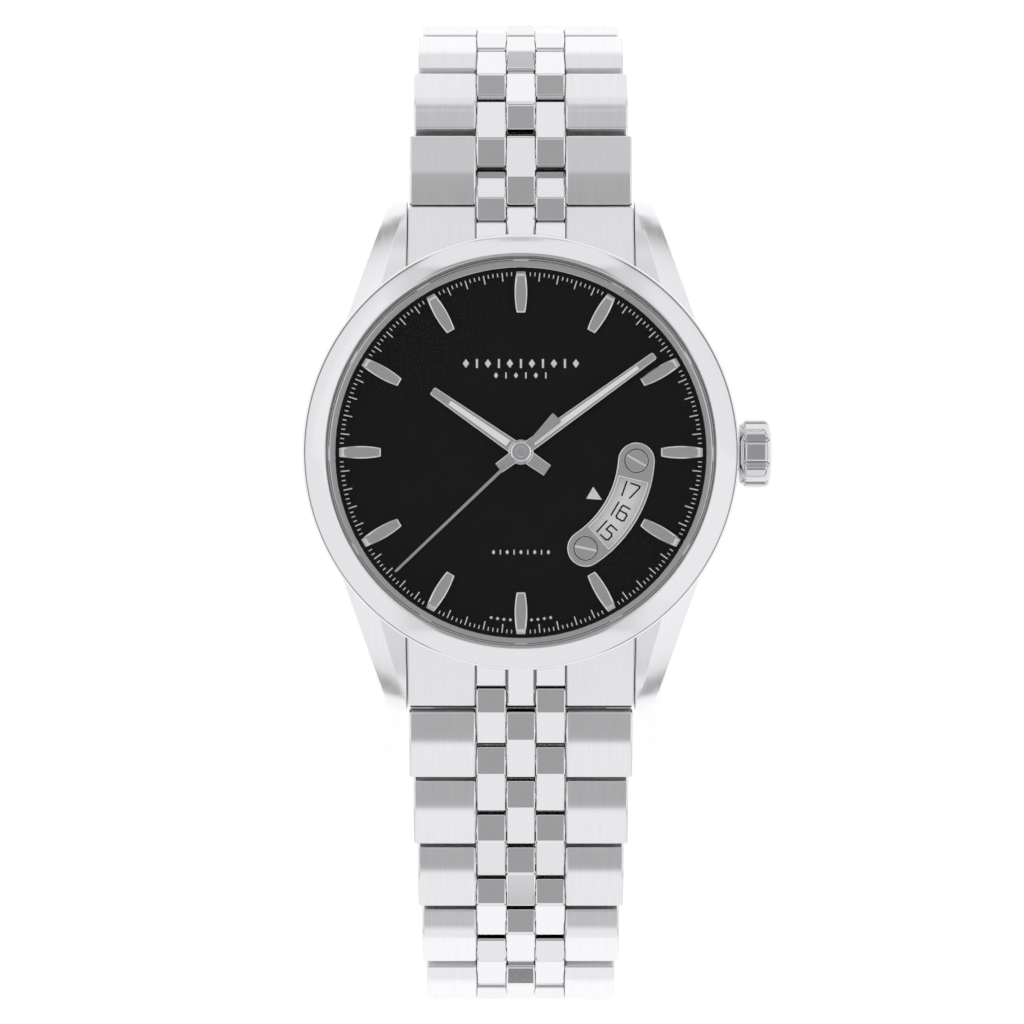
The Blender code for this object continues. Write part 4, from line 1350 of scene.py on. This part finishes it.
# Grey levels of the tent by the direction's X, Y and Z, each counted from -1 to 1
ACROSS_LEVELS = ((-0.60, 1.0), (-0.50, 0.85), (-0.41, 0.80), (-0.33, 0.42),
                 (0.33, 0.42), (0.41, 0.80), (0.50, 0.85), (0.60, 1.0))
ALONG_LEVELS = ((-0.79, 1.0), (-0.73, 0.42), (0.515, 0.42), (0.55, 0.94), (0.625, 0.94),
                (0.67, 0.44), (0.84, 0.44), (0.87, 1.0), (0.971, 1.0), (0.974, 0.5),
                (0.982, 0.5), (0.984, 1.0))
HEIGHT_LEVELS = ((-0.1, 0.9), (0.0, 0.85), (0.004, 0.25), (0.024, 0.25), (0.034, 0.9), (0.2, 1.0))
FLAG_LEVELS = ((-0.46, 0.30), (-0.37, 1.0), (0.37, 1.0), (0.46, 0.30))
ABOVE_FLAGS_LEVELS = ((0.18, 0.0), (0.22, 1.0))
TENT_STRENGTH = 0.93
FLOOR_GAP = 0.002
FLOOR_GLOW = 0.42


def make_stage():
    """White paper just under the bracelet."""
    floor_z = cad_box[0][2] - FLOOR_GAP
    bpy.ops.mesh.primitive_plane_add(size=6.0, location=(0.0, 0.0, floor_z))
    floor = bpy.context.object
    floor.name = "floor"
    mat, _, _ = new_material("white_paper", {
        "Base Color": (0.93, 0.93, 0.93, 1.0), "Roughness": 0.9, "Specular IOR Level": 0.1,
        "Emission Color": (1.0, 1.0, 1.0, 1.0), "Emission Strength": FLOOR_GLOW})
    floor.data.materials.append(mat)


def levels(tree, value, stops):
    """Grey level by a direction component between -1 and 1."""
    place = arithmetic(tree, "MULTIPLY_ADD", value, 0.5, 0.5)
    node = add_node(tree, "ValToRGB", {"Fac": place})
    elements = node.color_ramp.elements
    while len(elements) < len(stops):
        elements.new(0.5)
    for element, (position, level) in zip(elements, stops):
        element.position = position * 0.5 + 0.5
        element.color = (level, level, level * 1.004, 1.0)
    return node.outputs["Color"]


def blend(tree, kind, first, second):
    """Two colours mixed fully with the given blend mode."""
    node = tree.nodes.new("ShaderNodeMix")
    node.data_type = "RGBA"
    node.blend_type = kind
    connect(tree, node, {"Factor": 1.0, 6: first, 7: second})
    return node.outputs[2]


def make_world():
    """A light tent with a long grey opening overhead and low dark flags left and right."""
    world = bpy.data.worlds.new("tent")
    bpy.context.scene.world = world
    world.use_nodes = True
    tree = world.node_tree
    x, y, z = components(tree, "Generated")
    opening = blend(tree, "LIGHTEN", levels(tree, x, ACROSS_LEVELS),
                    levels(tree, y, ALONG_LEVELS))
    flags = blend(tree, "LIGHTEN", levels(tree, x, FLAG_LEVELS),
                  levels(tree, z, ABOVE_FLAGS_LEVELS))
    tent = blend(tree, "MULTIPLY", opening, levels(tree, z, HEIGHT_LEVELS))
    tent = blend(tree, "MULTIPLY", tent, flags)
    connect(tree, tree.nodes["Background"], {"Color": tent, "Strength": TENT_STRENGTH})


def area_light(name, place, aim, size, power):
    data = bpy.data.lights.new(name, "AREA")
    data.shape = "RECTANGLE"
    data.size, data.size_y = size
    data.energy = power
    light = bpy.data.objects.new(name, data)
    bpy.context.scene.collection.objects.link(light)
    light.location = Vector(place)
    direction = Vector(aim) - Vector(place)
    light.rotation_euler = direction.to_track_quat("-Z", "Y").to_euler()


def make_camera():
    """Above the dial, leaning a little towards 6 o'clock, with a long lens."""
    distance = 0.60
    view_width = 0.09818
    sensor_width = 36.0
    aim = Vector((-0.00086, -0.00585, 0.009))
    tilt = math.radians(3.0)
    data = bpy.data.cameras.new("camera")
    data.sensor_width = sensor_width
    data.lens = sensor_width * distance / view_width
    data.clip_start = 0.01
    data.clip_end = 10.0
    camera = bpy.data.objects.new("camera", data)
    bpy.context.scene.collection.objects.link(camera)
    camera.location = aim + distance * Vector((0.0, -math.sin(tilt), math.cos(tilt)))
    camera.rotation_euler = (tilt, 0.0, 0.0)
    bpy.context.scene.camera = camera


make_band()
make_lugs()
make_crown_tube()
make_bezel()
make_case_back()
make_dial()
paint(NODES["date_ring"], date_face)
make_markers()
make_minute_track()
make_dial_ornaments()
make_date_frame()
make_date_numerals()
make_hands()
make_movement()
make_balance()
make_hairspring()
make_rotor()
make_crown()
PINS_12 = bracelet_pins("12")
PINS_6 = bracelet_pins("6")
make_end_link("12", 1, PINS_12[0])
make_end_link("6", -1, PINS_6[0])
make_links("12", PINS_12)
make_links("6", PINS_6)
make_clasp(PINS_12, PINS_6)
make_stage()
make_world()
area_light("key", (-1.0, 0.5, 1.1), (0, 0, 0), (1.4, 1.4), 0.35)
area_light("fill", (1.1, -0.4, 0.9), (0, 0, 0), (1.2, 1.2), 0.2)
make_camera()

scene = bpy.context.scene
scene.view_settings.view_transform = "Standard"
